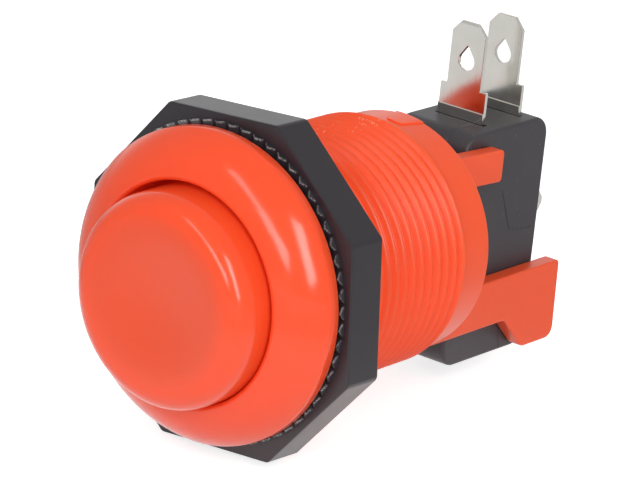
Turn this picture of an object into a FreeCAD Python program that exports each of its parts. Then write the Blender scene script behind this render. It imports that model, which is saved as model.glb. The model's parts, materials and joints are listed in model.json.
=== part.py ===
import FreeCAD, Part
import math
import os
from collections import namedtuple

# Panel pushbutton: a sprung plunger in a bezelled, threaded barrel, an eight-sided nut,
# and a snap-action switch held behind the barrel by four moulded arms.
# Millimetres. The barrel lies along Y, the button faces -Y, the tabs point up.
# The origin is on the barrel's axis, in the bezel's seating face.

# Bezel and threaded barrel
BEZEL_RADIUS = 17.58
BEZEL_HEIGHT = 5.05
BEZEL_LIP = 0.5
BEZEL_WALL = 0.86
BEZEL_SWELL = 0.75
BORE_RADIUS = 12.2
THREAD_CREST_RADIUS = 14.4
THREAD_DEPTH = 0.8
THREAD_PITCH = 1.48
THREAD_RUNOUT = 1.7
THREAD_TURNS = 17
BARREL_LENGTH = 31.65
BAND_RADIUS = 13.7
BAND_EDGE = 0.3
END_WALL = 2.0
GUIDE_LENGTH = 15.6
GUIDE_WALL = 2.2
KEY_HEIGHT = 0.25
KEY_LENGTH = 3.35
KEY_FRONT_WIDTH = 4.6
KEY_REAR_WIDTH = 7.8

# Plunger and its return spring
PLUNGER_CLEARANCE = 0.35
PLUNGER_PROUD = 9.4
PLUNGER_EDGE = 2.65
DISH_DEPTH = 1.0
CAP_THICKNESS = 2.2
SKIRT_END = 9.0
SKIRT_WALL = 1.6
STEM_RADIUS = 3.9
STEM_CLEARANCE = 0.3
BARB_HEIGHT = 0.7
BARB_LENGTH = 1.7
BARB_CLEARANCE = 0.1
STEM_SLOT_WIDTH = 1.6
STEM_SLOT_LENGTH = 10.0
STROKE = 2.5
SPRING_WIRE_RADIUS = 0.35
SPRING_RADIUS = 5.3
SPRING_TURNS = 5
SPRING_WIRE_SIDES = 6

# Nut
NUT_SIDES = 8
NUT_ACROSS_FLATS = 37.05
NUT_THICKNESS = 4.9
NUT_TURN = 5.0
NUT_CORNER = 0.8
NUT_CLEARANCE = 0.15
TOOTH_COUNT = 60
TOOTH_HEIGHT = 0.6
TOOTH_LENGTH = 2.2
TOOTH_MARGIN = 0.5
TOOTH_FACE_GAP = 0.15

# Switch housing
SWITCH_LENGTH = 27.8
SWITCH_DEPTH = 15.9
SWITCH_WIDTH = 10.3
SWITCH_GAP = 5.62
SWITCH_DROP = 2.73
SWITCH_CORNER = 2.4
SWITCH_EDGE = 0.4
SWITCH_WALL = 1.3
COVER_THICKNESS = 3.15
HOLE_RADIUS = 1.55
HOLE_INSET = 2.8
HOLE_WALL = 0.9

# Arms that carry the switch
ARM_THICKNESS = 1.9
ARM_CLEARANCE = 0.1
PEG_CLEARANCE = 0.3
PEG_LENGTH = 1.6
UPPER_ARM_HEIGHT = 3.8
UPPER_ARM_ABOVE_HOLE = 1.1
UPPER_ARM_PAST_HOLE = 1.95
UPPER_ARM_TAPER = 0.6
ARM_CORNER = 0.5
LEG_TOP_ABOVE_HOLE = 7.4
LEG_NECK_ABOVE_HOLE = 1.9
LEG_PAST_HOLE = 5.85
LOBE_BELOW_HOLE = 2.2
LOBE_BEFORE_HOLE = 0.3
LOBE_NOSE = 0.5
LOBE_CORNER = 1.4

# Terminals
TAB_THICKNESS = 0.5
TAB_WIDTH = 4.7
TAB_BASE_WIDTH = 6.4
TAB_BASE_HEIGHT = 3.75
TAB_HEIGHT = 11.4
TAB_TIP_WIDTH = 2.3
TAB_TIP_HEIGHT = 1.35
TAB_EYE_RADIUS = 1.08
TAB_EYE_HEIGHT = 6.8
TAB_EYE_POINT = 1.85
SLOT_CLEARANCE = 0.04
FRONT_TAB_FROM_FACE = 5.58
REAR_TAB_FROM_FACE = 12.38
TAB_INNER_LENGTH = 6.4
COM_TAB_HEIGHT = 0.73
COM_TAB_LENGTH = 8.2
COM_BASE_LENGTH = 2.6

# Switch mechanism
PIN_RADIUS = 1.5
PIN_PROUD = 1.5
PIN_CLEARANCE = 0.08
PIN_FLANGE = 0.7
PIN_NOSE_RADIUS = 0.4
PIN_TRAVEL = 1.0
BLADE_THICKNESS = 0.3
BLADE_WIDTH = 4.0
BLADE_TAIL = 1.7
BLADE_HEAD = 1.7
PIVOT_ABOVE_BOTTOM = 8.13
CONTACT_BELOW_TOP = 4.17
CONTACT_RADIUS = 1.3
CONTACT_HEAD = 0.9
TOUCH_GAP = 0.05
POST_GAP = 0.08
POST_HEIGHT = 2.2
FINGER_HEIGHT = 2.8
SNAP_THICKNESS = 0.2
SNAP_WIDTH = 1.6
SNAP_BOW = 2.0

# Places along the barrel's axis that several pieces share
BARREL_REAR = BARREL_LENGTH
WALL_FRONT = BARREL_REAR - END_WALL
GUIDE_FRONT = WALL_FRONT - GUIDE_LENGTH
CREST_Y = -BEZEL_HEIGHT
THREAD_ROOT_RADIUS = THREAD_CREST_RADIUS - THREAD_DEPTH
THREAD_END = THREAD_RUNOUT + THREAD_TURNS * THREAD_PITCH
PLUNGER_RADIUS = BORE_RADIUS - PLUNGER_CLEARANCE
CAP_INNER_Y = -PLUNGER_PROUD + DISH_DEPTH + CAP_THICKNESS
STEM_HOLE_RADIUS = STEM_RADIUS + STEM_CLEARANCE
SWITCH_FRONT = BARREL_REAR + SWITCH_GAP
SWITCH_REAR = SWITCH_FRONT + SWITCH_DEPTH
SWITCH_TOP = SWITCH_LENGTH / 2 - SWITCH_DROP
SWITCH_BOTTOM = -SWITCH_LENGTH / 2 - SWITCH_DROP
CASE_SIDE = -SWITCH_WIDTH / 2
COVER_SIDE = SWITCH_WIDTH / 2
SEAM_X = COVER_SIDE - COVER_THICKNESS
UPPER_HOLE = (SWITCH_FRONT + HOLE_INSET, SWITCH_TOP - HOLE_INSET)
LOWER_HOLE = (SWITCH_REAR - HOLE_INSET, SWITCH_BOTTOM + HOLE_INSET)
FRONT_TAB_Y = SWITCH_FRONT + FRONT_TAB_FROM_FACE
REAR_TAB_Y = SWITCH_FRONT + REAR_TAB_FROM_FACE
COM_TAB_Z = -SWITCH_DROP + COM_TAB_HEIGHT
PIN_TIP_Y = SWITCH_FRONT - PIN_PROUD
STEM_END = PIN_TIP_Y - (STROKE - PIN_TRAVEL) - 2 * TOUCH_GAP

# Places of the contacts: the blade swings through the angle that the pin's travel gives it
PIVOT_BELOW_PIN = -SWITCH_BOTTOM - PIVOT_ABOVE_BOTTOM
CONTACT_ABOVE_PIN = SWITCH_TOP - CONTACT_BELOW_TOP
SWING = math.asin(PIN_TRAVEL / PIVOT_BELOW_PIN)
NC_CONTACT_FACE = FRONT_TAB_Y + TAB_THICKNESS / 2 + CONTACT_HEAD
NO_CONTACT_FACE = REAR_TAB_Y - TAB_THICKNESS / 2 - CONTACT_HEAD
CONTACT_SWING = (PIVOT_BELOW_PIN + CONTACT_ABOVE_PIN) * math.tan(SWING)
CONTACT_TILT = CONTACT_RADIUS * math.sin(SWING)
MOVING_FRONT = NC_CONTACT_FACE + TOUCH_GAP
MOVING_REAR = NO_CONTACT_FACE - CONTACT_SWING - CONTACT_TILT - TOUCH_GAP
BLADE_FRONT = (MOVING_FRONT + MOVING_REAR - BLADE_THICKNESS) / 2
BLADE_REAR = BLADE_FRONT + BLADE_THICKNESS

Arc = namedtuple("Arc", "middle end")
Round = namedtuple("Round", "corner end")


def axial(radius, y):
    """Point of a section that is turned about the barrel's axis."""
    return FreeCAD.Vector(radius, y, 0)


def at_x(x):
    """Points of an outline drawn in the plane of the given x, from (y, z)."""
    return lambda y, z: FreeCAD.Vector(x, y, z)


def at_y(y):
    """Points of an outline drawn in the plane of the given y, from (x, z)."""
    return lambda x, z: FreeCAD.Vector(x, y, z)


def round_middle(start, corner, end):
    """Middle of the arc that rounds off a corner, whose two legs are equally long."""
    leg = (start - corner).Length
    bisector = (start - corner) + (end - corner)
    bisector.normalize()
    slope = (start - corner).getAngle(bisector)
    return corner + bisector * leg * (1 - math.sin(slope)) / math.cos(slope)


def face(place, start, *steps):
    """Closed face: a plain step is a straight line, an Arc or a Round is a curve."""
    first = place(*start)
    here = first
    edges = []
    for step in steps:
        if isinstance(step, Arc):
            end = place(*step.end)
            edges.append(Part.Arc(here, place(*step.middle), end).toShape())
        elif isinstance(step, Round):
            end = place(*step.end)
            edges.append(Part.Arc(here, round_middle(here, place(*step.corner), end), end).toShape())
        else:
            end = place(*step)
            edges.append(Part.makeLine(here, end))
        here = end
    if here.distanceToPoint(first) > 1e-6:
        edges.append(Part.makeLine(here, first))
    return Part.Face(Part.Wire(edges))


def turned(start, *steps):
    """Solid turned about the barrel's axis from a section in (radius, y)."""
    return face(axial, start, *steps).revolve(FreeCAD.Vector(), FreeCAD.Vector(0, 1, 0), 360)


def rod(radius, start, along):
    """Cylinder from a point along a vector."""
    return Part.makeCylinder(radius, along.Length, start, along)


def block(low, high):
    """Box between two corners."""
    size = [b - a for a, b in zip(low, high)]
    return Part.makeBox(*size, FreeCAD.Vector(*low))


def mirrored(shape):
    """The same shape on the other side of the barrel's upright middle plane."""
    return shape.mirror(FreeCAD.Vector(), FreeCAD.Vector(1, 0, 0))


def edges_at_x(shape, x):
    """Edges that lie wholly in the plane of the given x."""
    return [e for e in shape.Edges if abs(e.BoundBox.XMin - x) < 1e-6 and abs(e.BoundBox.XMax - x) < 1e-6]


def thread_steps():
    """Section of the ridges, one for each turn of the thread."""
    steps = []
    for turn in range(THREAD_TURNS):
        y = THREAD_RUNOUT + turn * THREAD_PITCH
        steps.append((THREAD_ROOT_RADIUS, y))
        steps.append((THREAD_CREST_RADIUS, y + THREAD_PITCH / 2))
    steps.append((THREAD_ROOT_RADIUS, THREAD_END))
    return steps


def swollen(start, end, swell):
    """Arc between two points of a section that stands out from their chord by the swell."""
    run = end[0] - start[0]
    climb = end[1] - start[1]
    chord = math.hypot(run, climb)
    middle = ((start[0] + end[0]) / 2 + swell * climb / chord, (start[1] + end[1]) / 2 - swell * run / chord)
    return Arc(middle, end)


def make_barrel():
    """Bezel, barrel, end wall and the guide tube for the stem, as one turned section."""
    crest_radius = BORE_RADIUS + BEZEL_LIP
    guide_radius = STEM_HOLE_RADIUS + GUIDE_WALL
    return turned(
        (STEM_HOLE_RADIUS, BARREL_REAR),
        (STEM_HOLE_RADIUS, GUIDE_FRONT),
        (guide_radius, GUIDE_FRONT),
        (guide_radius, WALL_FRONT),
        (BORE_RADIUS, WALL_FRONT),
        (BORE_RADIUS, CREST_Y + BEZEL_LIP),
        Round((BORE_RADIUS, CREST_Y), (crest_radius, CREST_Y)),
        swollen((crest_radius, CREST_Y), (BEZEL_RADIUS, -BEZEL_WALL), BEZEL_SWELL),
        (BEZEL_RADIUS, 0),
        (THREAD_ROOT_RADIUS, 0),
        *thread_steps(),
        (BAND_RADIUS, THREAD_END),
        (BAND_RADIUS, BARREL_REAR - BAND_EDGE),
        (BAND_RADIUS - BAND_EDGE, BARREL_REAR),
    )


def make_key():
    """Raised key on top of the plain band, wider towards the rear."""
    front = BARREL_REAR - KEY_LENGTH
    plan = face(
        lambda x, y: FreeCAD.Vector(x, y, 0),
        (-KEY_FRONT_WIDTH / 2, front),
        (KEY_FRONT_WIDTH / 2, front),
        (KEY_REAR_WIDTH / 2, BARREL_REAR - BAND_EDGE),
        (-KEY_REAR_WIDTH / 2, BARREL_REAR - BAND_EDGE),
    )
    column = plan.extrude(FreeCAD.Vector(0, 0, BEZEL_RADIUS))
    along = FreeCAD.Vector(0, KEY_LENGTH, 0)
    start = FreeCAD.Vector(0, front, 0)
    sleeve = rod(BAND_RADIUS + KEY_HEIGHT, start, along).cut(rod(BAND_RADIUS - BAND_EDGE, start, along))
    return column.common(sleeve)


def make_peg(hole, inner_x):
    """Peg on an arm's inner side that snaps into one of the switch's holes."""
    into = FreeCAD.Vector(-PEG_LENGTH - ARM_CLEARANCE, 0, 0)
    return rod(HOLE_RADIUS - PEG_CLEARANCE, FreeCAD.Vector(inner_x, *hole), into)


def make_upper_arm(inner_x):
    """Short arm beside the switch's upper front hole."""
    hole_y, hole_z = UPPER_HOLE
    root = WALL_FRONT + END_WALL / 2
    end = hole_y + UPPER_ARM_PAST_HOLE
    top = hole_z + UPPER_ARM_ABOVE_HOLE
    bottom = top - UPPER_ARM_HEIGHT
    plate = face(
        at_x(inner_x),
        (root, bottom + UPPER_ARM_TAPER),
        (end, bottom),
        (end, top - ARM_CORNER),
        (end - ARM_CORNER, top),
        (root, top + UPPER_ARM_TAPER),
    )
    return plate.extrude(FreeCAD.Vector(ARM_THICKNESS, 0, 0)).fuse(make_peg(UPPER_HOLE, inner_x))


def make_lower_leg(inner_x):
    """Long leg under the switch's middle, with the lobe that carries the lower peg."""
    hole_y, hole_z = LOWER_HOLE
    root = WALL_FRONT + END_WALL / 2
    end = hole_y + LEG_PAST_HOLE
    top = hole_z + LEG_TOP_ABOVE_HOLE
    neck = hole_z + LEG_NECK_ABOVE_HOLE
    bottom = hole_z - LOBE_BELOW_HOLE
    lobe = hole_y - LOBE_BEFORE_HOLE
    slant = neck - bottom
    slant_end = LOBE_NOSE / math.sqrt(2)
    plate = face(
        at_x(inner_x),
        (root, neck),
        (lobe - slant, neck),
        (lobe - slant_end, bottom + slant_end),
        Round((lobe, bottom), (lobe + LOBE_NOSE, bottom)),
        (end - LOBE_CORNER, bottom),
        Round((end, bottom), (end, bottom + LOBE_CORNER)),
        (end, top - ARM_CORNER),
        (end - ARM_CORNER, top),
        (root, top),
    )
    return plate.extrude(FreeCAD.Vector(ARM_THICKNESS, 0, 0)).fuse(make_peg(LOWER_HOLE, inner_x))


def make_body():
    """The whole orange moulding."""
    inner_x = COVER_SIDE + ARM_CLEARANCE
    arms = [make_upper_arm(inner_x), make_lower_leg(inner_x)]
    arms += [mirrored(arm) for arm in arms]
    return make_barrel().multiFuse([make_key()] + arms).removeSplitter()


def make_plunger():
    """Dished button cap with its skirt, and a split stem with snap barbs behind the end wall."""
    dish_radius = PLUNGER_RADIUS - PLUNGER_EDGE
    dish_y = -PLUNGER_PROUD + DISH_DEPTH
    barb_front = BARREL_REAR + BARB_CLEARANCE
    barb_radius = STEM_HOLE_RADIUS + BARB_HEIGHT
    solid = turned(
        (0, dish_y),
        Arc((dish_radius / 2, dish_y - DISH_DEPTH / 4), (dish_radius, -PLUNGER_PROUD)),
        Round((PLUNGER_RADIUS, -PLUNGER_PROUD), (PLUNGER_RADIUS, -PLUNGER_PROUD + PLUNGER_EDGE)),
        (PLUNGER_RADIUS, SKIRT_END),
        (PLUNGER_RADIUS - SKIRT_WALL, SKIRT_END),
        (PLUNGER_RADIUS - SKIRT_WALL, CAP_INNER_Y),
        (STEM_RADIUS, CAP_INNER_Y),
        (STEM_RADIUS, barb_front),
        (barb_radius, barb_front),
        (STEM_RADIUS, barb_front + BARB_LENGTH),
        (STEM_RADIUS, STEM_END),
        (0, STEM_END),
    )
    slot = block(
        (-STEM_SLOT_WIDTH / 2, STEM_END - STEM_SLOT_LENGTH, -barb_radius),
        (STEM_SLOT_WIDTH / 2, STEM_END, barb_radius),
    )
    return solid.cut(slot)


def make_plunger_spring():
    """Coil round the stem, from the cap's inner face to the guide tube, its round wire drawn six-sided."""
    start = CAP_INNER_Y + SPRING_WIRE_RADIUS + TOUCH_GAP
    length = GUIDE_FRONT - SPRING_WIRE_RADIUS - TOUCH_GAP - start
    helix = Part.makeHelix(length / SPRING_TURNS, length, SPRING_RADIUS)
    corners = []
    for side in range(SPRING_WIRE_SIDES + 1):
        angle = 2 * math.pi * side / SPRING_WIRE_SIDES
        across = SPRING_RADIUS + SPRING_WIRE_RADIUS * math.cos(angle)
        corners.append(FreeCAD.Vector(across, 0, SPRING_WIRE_RADIUS * math.sin(angle)))
    coil = Part.Wire(helix).makePipeShell([Part.makePolygon(corners)], True, True)
    coil.rotate(FreeCAD.Vector(), FreeCAD.Vector(1, 0, 0), -90)
    coil.translate(FreeCAD.Vector(0, start, 0))
    return coil


def make_tooth(inner, outer, root_y):
    """One radial tooth, pointing at the bezel, on the +X side of the axis."""
    half = math.pi * inner / TOOTH_COUNT
    section = face(
        lambda z, y: FreeCAD.Vector(inner, y, z),
        (-half, root_y),
        (0, root_y - TOOTH_HEIGHT),
        (half, root_y),
        (half, root_y + TOOTH_HEIGHT / 2),
        (-half, root_y + TOOTH_HEIGHT / 2),
    )
    return section.extrude(FreeCAD.Vector(outer - inner, 0, 0))


def make_nut():
    """Eight-sided nut, with its teeth just clear of the bezel."""
    front = TOOTH_FACE_GAP + TOOTH_HEIGHT
    rear = front + NUT_THICKNESS
    corner_radius = NUT_ACROSS_FLATS / 2 / math.cos(math.pi / NUT_SIDES)
    corners = []
    for side in range(NUT_SIDES):
        angle = math.radians(NUT_TURN) + (side + 0.5) * 2 * math.pi / NUT_SIDES
        corners.append((corner_radius * math.cos(angle), corner_radius * math.sin(angle)))
    blank = face(at_y(front), *corners).extrude(FreeCAD.Vector(0, NUT_THICKNESS, 0))
    upright = [edge for edge in blank.Edges if edge.BoundBox.YLength > NUT_THICKNESS / 2]
    blank = blank.makeFillet(NUT_CORNER, upright)
    outer = NUT_ACROSS_FLATS / 2 - TOOTH_MARGIN
    inner = outer - TOOTH_LENGTH
    teeth = []
    for number in range(TOOTH_COUNT):
        tooth = make_tooth(inner, outer, front)
        tooth.rotate(FreeCAD.Vector(), FreeCAD.Vector(0, 1, 0), number * 360 / TOOTH_COUNT)
        teeth.append(tooth)
    bore = rod(THREAD_CREST_RADIUS + NUT_CLEARANCE, FreeCAD.Vector(0, 0, 0), FreeCAD.Vector(0, 2 * rear, 0))
    return blank.multiFuse(teeth).cut(bore).removeSplitter()


def switch_outline(x):
    """Rounded outline of the switch housing in the plane of the given x."""
    corner = SWITCH_CORNER
    return face(
        at_x(x),
        (SWITCH_FRONT + corner, SWITCH_BOTTOM),
        (SWITCH_REAR - corner, SWITCH_BOTTOM),
        Round((SWITCH_REAR, SWITCH_BOTTOM), (SWITCH_REAR, SWITCH_BOTTOM + corner)),
        (SWITCH_REAR, SWITCH_TOP - corner),
        Round((SWITCH_REAR, SWITCH_TOP), (SWITCH_REAR - corner, SWITCH_TOP)),
        (SWITCH_FRONT + corner, SWITCH_TOP),
        Round((SWITCH_FRONT, SWITCH_TOP), (SWITCH_FRONT, SWITCH_TOP - corner)),
        (SWITCH_FRONT, SWITCH_BOTTOM + corner),
        Round((SWITCH_FRONT, SWITCH_BOTTOM), (SWITCH_FRONT + corner, SWITCH_BOTTOM)),
    )


def housing_cuts():
    """Everything that passes through the switch's walls: holes, tab slots and the pin."""
    across = FreeCAD.Vector(SWITCH_WIDTH, 0, 0)
    cuts = [rod(HOLE_RADIUS, FreeCAD.Vector(CASE_SIDE, *hole), across) for hole in (UPPER_HOLE, LOWER_HOLE)]
    half_base = TAB_BASE_WIDTH / 2 + SLOT_CLEARANCE
    half_slot = TAB_THICKNESS / 2 + SLOT_CLEARANCE
    for y in (FRONT_TAB_Y, REAR_TAB_Y):
        low = (-half_base, y - half_slot, SWITCH_TOP - 2 * SWITCH_WALL)
        cuts.append(block(low, (half_base, y + half_slot, SWITCH_TOP)))
    low = (-half_slot, SWITCH_REAR - 2 * SWITCH_WALL, COM_TAB_Z - half_base)
    cuts.append(block(low, (half_slot, SWITCH_REAR, COM_TAB_Z + half_base)))
    into = FreeCAD.Vector(0, 2 * SWITCH_WALL, 0)
    cuts.append(rod(PIN_RADIUS + PIN_CLEARANCE, FreeCAD.Vector(0, SWITCH_FRONT, 0), into))
    return cuts


def make_shell(outer_x, seam_x):
    """One half of the housing: a rounded tray with a tube round each fixing hole."""
    width = seam_x - outer_x
    inward = math.copysign(SWITCH_WALL, width)
    tray = switch_outline(outer_x).extrude(FreeCAD.Vector(width, 0, 0))
    tray = tray.makeFillet(SWITCH_EDGE, edges_at_x(tray, outer_x))
    room = block(
        (min(outer_x + inward, seam_x), SWITCH_FRONT + SWITCH_WALL, SWITCH_BOTTOM + SWITCH_WALL),
        (max(outer_x + inward, seam_x), SWITCH_REAR - SWITCH_WALL, SWITCH_TOP - SWITCH_WALL),
    )
    tubes = []
    for hole in (UPPER_HOLE, LOWER_HOLE):
        start = FreeCAD.Vector(outer_x + inward / 2, *hole)
        tubes.append(rod(HOLE_RADIUS + HOLE_WALL, start, FreeCAD.Vector(width - inward / 2, 0, 0)))
    return tray.cut(room).multiFuse(tubes).cut(Part.makeCompound(housing_cuts())).removeSplitter()


def tab_outline(place, base_z):
    """Tab above its base line, in (across, up): shoulders, pointed tip and a drop-shaped eye."""
    half_base = TAB_BASE_WIDTH / 2
    half_tab = TAB_WIDTH / 2
    half_tip = TAB_TIP_WIDTH / 2
    shoulder = base_z + TAB_BASE_HEIGHT
    top = base_z + TAB_HEIGHT
    plate = face(
        place,
        (-half_base, base_z),
        (half_base, base_z),
        (half_base, shoulder),
        (half_tab, shoulder),
        (half_tab, top - TAB_TIP_HEIGHT),
        (half_tip, top),
        (-half_tip, top),
        (-half_tab, top - TAB_TIP_HEIGHT),
        (-half_tab, shoulder),
        (-half_base, shoulder),
    )
    return plate.cut(tab_eye(place, base_z + TAB_EYE_HEIGHT))


def tab_eye(place, eye):
    """Drop-shaped eye: round below, with two straight sides that meet in a point."""
    reach = math.acos(TAB_EYE_RADIUS / TAB_EYE_POINT)
    side = TAB_EYE_RADIUS * math.sin(reach)
    rise = TAB_EYE_RADIUS * math.cos(reach)
    return face(
        place,
        (0, eye + TAB_EYE_POINT),
        (-side, eye + rise),
        Arc((0, eye - TAB_EYE_RADIUS), (side, eye + rise)),
    )


def make_upright_terminal(y):
    """Terminal that stands in the switch's top end and reaches down beside the blade."""
    place = at_y(y - TAB_THICKNESS / 2)
    through = FreeCAD.Vector(0, TAB_THICKNESS, 0)
    tab = tab_outline(place, SWITCH_TOP).extrude(through)
    half_base = TAB_BASE_WIDTH / 2
    half_leg = BLADE_WIDTH / 2
    ledge = SWITCH_TOP - 2 * SWITCH_WALL
    leg = face(
        place,
        (-half_base, SWITCH_TOP),
        (-half_base, ledge),
        (-half_leg, ledge),
        (-half_leg, SWITCH_TOP - TAB_INNER_LENGTH),
        (half_leg, SWITCH_TOP - TAB_INNER_LENGTH),
        (half_leg, ledge),
        (half_base, ledge),
        (half_base, SWITCH_TOP),
    )
    return tab.fuse(leg.extrude(through)).removeSplitter()


def make_com_terminal():
    """Common terminal: a stamped plate with its tab behind the switch and the blade's post inside."""
    place = at_x(-TAB_THICKNESS / 2)
    through = FreeCAD.Vector(TAB_THICKNESS, 0, 0)
    half_base = TAB_BASE_WIDTH / 2
    half_tab = TAB_WIDTH / 2
    half_tip = TAB_TIP_WIDTH / 2
    tip = SWITCH_REAR + COM_TAB_LENGTH
    shoulder = SWITCH_REAR + COM_BASE_LENGTH
    room_rear = SWITCH_REAR - SWITCH_WALL - SLOT_CLEARANCE
    inner = room_rear - SWITCH_WALL
    post_front = BLADE_REAR + POST_GAP
    post_top = -PIVOT_BELOW_PIN
    post_bottom = post_top - POST_HEIGHT
    finger_front = post_front + 2 * SNAP_THICKNESS + CONTACT_TILT
    finger_rear = finger_front + POST_HEIGHT / 2
    plate = face(
        place,
        (tip, COM_TAB_Z - half_tip),
        (tip, COM_TAB_Z + half_tip),
        (tip - TAB_TIP_HEIGHT, COM_TAB_Z + half_tab),
        (shoulder, COM_TAB_Z + half_tab),
        (shoulder, COM_TAB_Z + half_base),
        (inner, COM_TAB_Z + half_base),
        (inner, post_top),
        (finger_rear, post_top),
        (finger_rear, post_top + FINGER_HEIGHT),
        (finger_front, post_top + FINGER_HEIGHT),
        (finger_front, post_top),
        (post_front, post_top),
        (post_front, post_bottom),
        (room_rear, post_bottom),
        (room_rear, COM_TAB_Z - half_base),
        (shoulder, COM_TAB_Z - half_base),
        (shoulder, COM_TAB_Z - half_tab),
        (tip - TAB_TIP_HEIGHT, COM_TAB_Z - half_tab),
    )
    eye_y = tip - TAB_HEIGHT + TAB_EYE_HEIGHT
    eye = tab_eye(lambda across, along: FreeCAD.Vector(-TAB_THICKNESS / 2, along, COM_TAB_Z + across), eye_y)
    return plate.cut(eye).extrude(through)


def make_contact(face_y, tab_y):
    """Fixed contact rivet's head, on the side of a terminal that faces the blade."""
    start = FreeCAD.Vector(0, tab_y, CONTACT_ABOVE_PIN)
    return rod(CONTACT_RADIUS, start, FreeCAD.Vector(0, face_y - tab_y, 0))


def make_moving_blade():
    """Springy contact arm, with a window either side of the bar that the pin presses."""
    half = BLADE_WIDTH / 2
    tail = -PIVOT_BELOW_PIN - BLADE_TAIL
    head = CONTACT_ABOVE_PIN + BLADE_HEAD
    through = FreeCAD.Vector(0, BLADE_THICKNESS, 0)
    strip = face(
        at_y(BLADE_FRONT),
        (-half, tail),
        (half, tail),
        (half, head - half),
        Round((half, head), (0, head)),
        Round((-half, head), (-half, head - half)),
    ).extrude(through)
    window = block(
        (-half / 2, BLADE_FRONT, -PIVOT_BELOW_PIN + FINGER_HEIGHT),
        (half / 2, BLADE_REAR, -2 * PIN_NOSE_RADIUS - half / 2),
    )
    neck = rod(CONTACT_RADIUS / 2, FreeCAD.Vector(0, BLADE_FRONT, CONTACT_ABOVE_PIN), through)
    return strip.cut(window).cut(neck)


def make_moving_contact():
    """Double-headed rivet through the blade's tip."""
    neck = CONTACT_RADIUS / 2
    profile = Part.makeCompound([
        rod(CONTACT_RADIUS, FreeCAD.Vector(0, MOVING_FRONT, CONTACT_ABOVE_PIN),
            FreeCAD.Vector(0, BLADE_FRONT - MOVING_FRONT, 0)),
        rod(CONTACT_RADIUS, FreeCAD.Vector(0, BLADE_REAR, CONTACT_ABOVE_PIN),
            FreeCAD.Vector(0, MOVING_REAR - BLADE_REAR, 0)),
    ])
    shank = rod(neck, FreeCAD.Vector(0, MOVING_FRONT, CONTACT_ABOVE_PIN),
                FreeCAD.Vector(0, MOVING_REAR - MOVING_FRONT, 0))
    return shank.multiFuse(profile.Solids).removeSplitter()


def make_switch_pin():
    """Actuating pin, with a flange that keeps it in the case and a nose that presses the blade."""
    flange_front = SWITCH_FRONT + SWITCH_WALL + TOUCH_GAP
    flange_rear = flange_front + PIN_FLANGE
    nose = BLADE_FRONT - TOUCH_GAP
    return turned(
        (0, PIN_TIP_Y),
        (PIN_RADIUS - PIN_NOSE_RADIUS, PIN_TIP_Y),
        Round((PIN_RADIUS, PIN_TIP_Y), (PIN_RADIUS, PIN_TIP_Y + PIN_NOSE_RADIUS)),
        (PIN_RADIUS, flange_front),
        (PIN_RADIUS + PIN_FLANGE, flange_front),
        (PIN_RADIUS + PIN_FLANGE, flange_rear),
        (PIN_RADIUS, flange_rear),
        (PIN_RADIUS, nose - PIN_RADIUS),
        (PIN_NOSE_RADIUS, nose),
        (0, nose),
    )


def make_snap_spring():
    """Bowed leaf between the common terminal's finger and the blade's back."""
    low = -PIVOT_BELOW_PIN + FINGER_HEIGHT + TOUCH_GAP
    high = CONTACT_ABOVE_PIN - CONTACT_RADIUS - TOUCH_GAP
    front = BLADE_REAR + TOUCH_GAP
    low_front = front + POST_GAP + 2 * SNAP_THICKNESS + CONTACT_TILT
    middle = (low + high) / 2
    leaf = face(
        at_x(-SNAP_WIDTH / 2),
        (low_front, low),
        Arc((front + SNAP_BOW, middle), (front, high)),
        (front + SNAP_THICKNESS, high),
        Arc((front + SNAP_BOW + SNAP_THICKNESS, middle), (low_front + SNAP_THICKNESS, low)),
    )
    return leaf.extrude(FreeCAD.Vector(SNAP_WIDTH, 0, 0))


PIECES = {
    "body": make_body,
    "plunger": make_plunger,
    "plunger_spring": make_plunger_spring,
    "nut": make_nut,
    "switch_case": lambda: make_shell(CASE_SIDE, SEAM_X),
    "switch_cover": lambda: make_shell(COVER_SIDE, SEAM_X),
    "switch_pin": make_switch_pin,
    "nc_terminal": lambda: make_upright_terminal(FRONT_TAB_Y),
    "no_terminal": lambda: make_upright_terminal(REAR_TAB_Y),
    "com_terminal": make_com_terminal,
    "nc_contact": lambda: make_contact(NC_CONTACT_FACE, FRONT_TAB_Y + TAB_THICKNESS / 2),
    "no_contact": lambda: make_contact(NO_CONTACT_FACE, REAR_TAB_Y - TAB_THICKNESS / 2),
    "moving_blade": make_moving_blade,
    "moving_contact": make_moving_contact,
    "snap_spring": make_snap_spring,
}

os.makedirs("parts", exist_ok=True)
for node, make in PIECES.items():
    piece = make()
    if piece.ShapeType == "Compound" and len(piece.Solids) == 1:
        piece = piece.Solids[0]
    piece.exportStep(os.path.join("parts", node + ".step"))
    print(node, len(piece.Solids), "solid", round(piece.Volume, 2), "mm3", "valid" if piece.isValid() else "INVALID")
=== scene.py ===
# %% [markdown]
# # Dressing a panel pushbutton
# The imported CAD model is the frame: it says where every piece is and how it moves.
# This lesson models what a camera sees of the button, piece by piece, and then finishes and lights it.
# All sizes are in millimetres, with the barrel along Y, the button towards -Y and the tabs up.

# %% Load the frame
import json
import math

import bmesh
import bpy
from mathutils import Matrix, Vector


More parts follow.
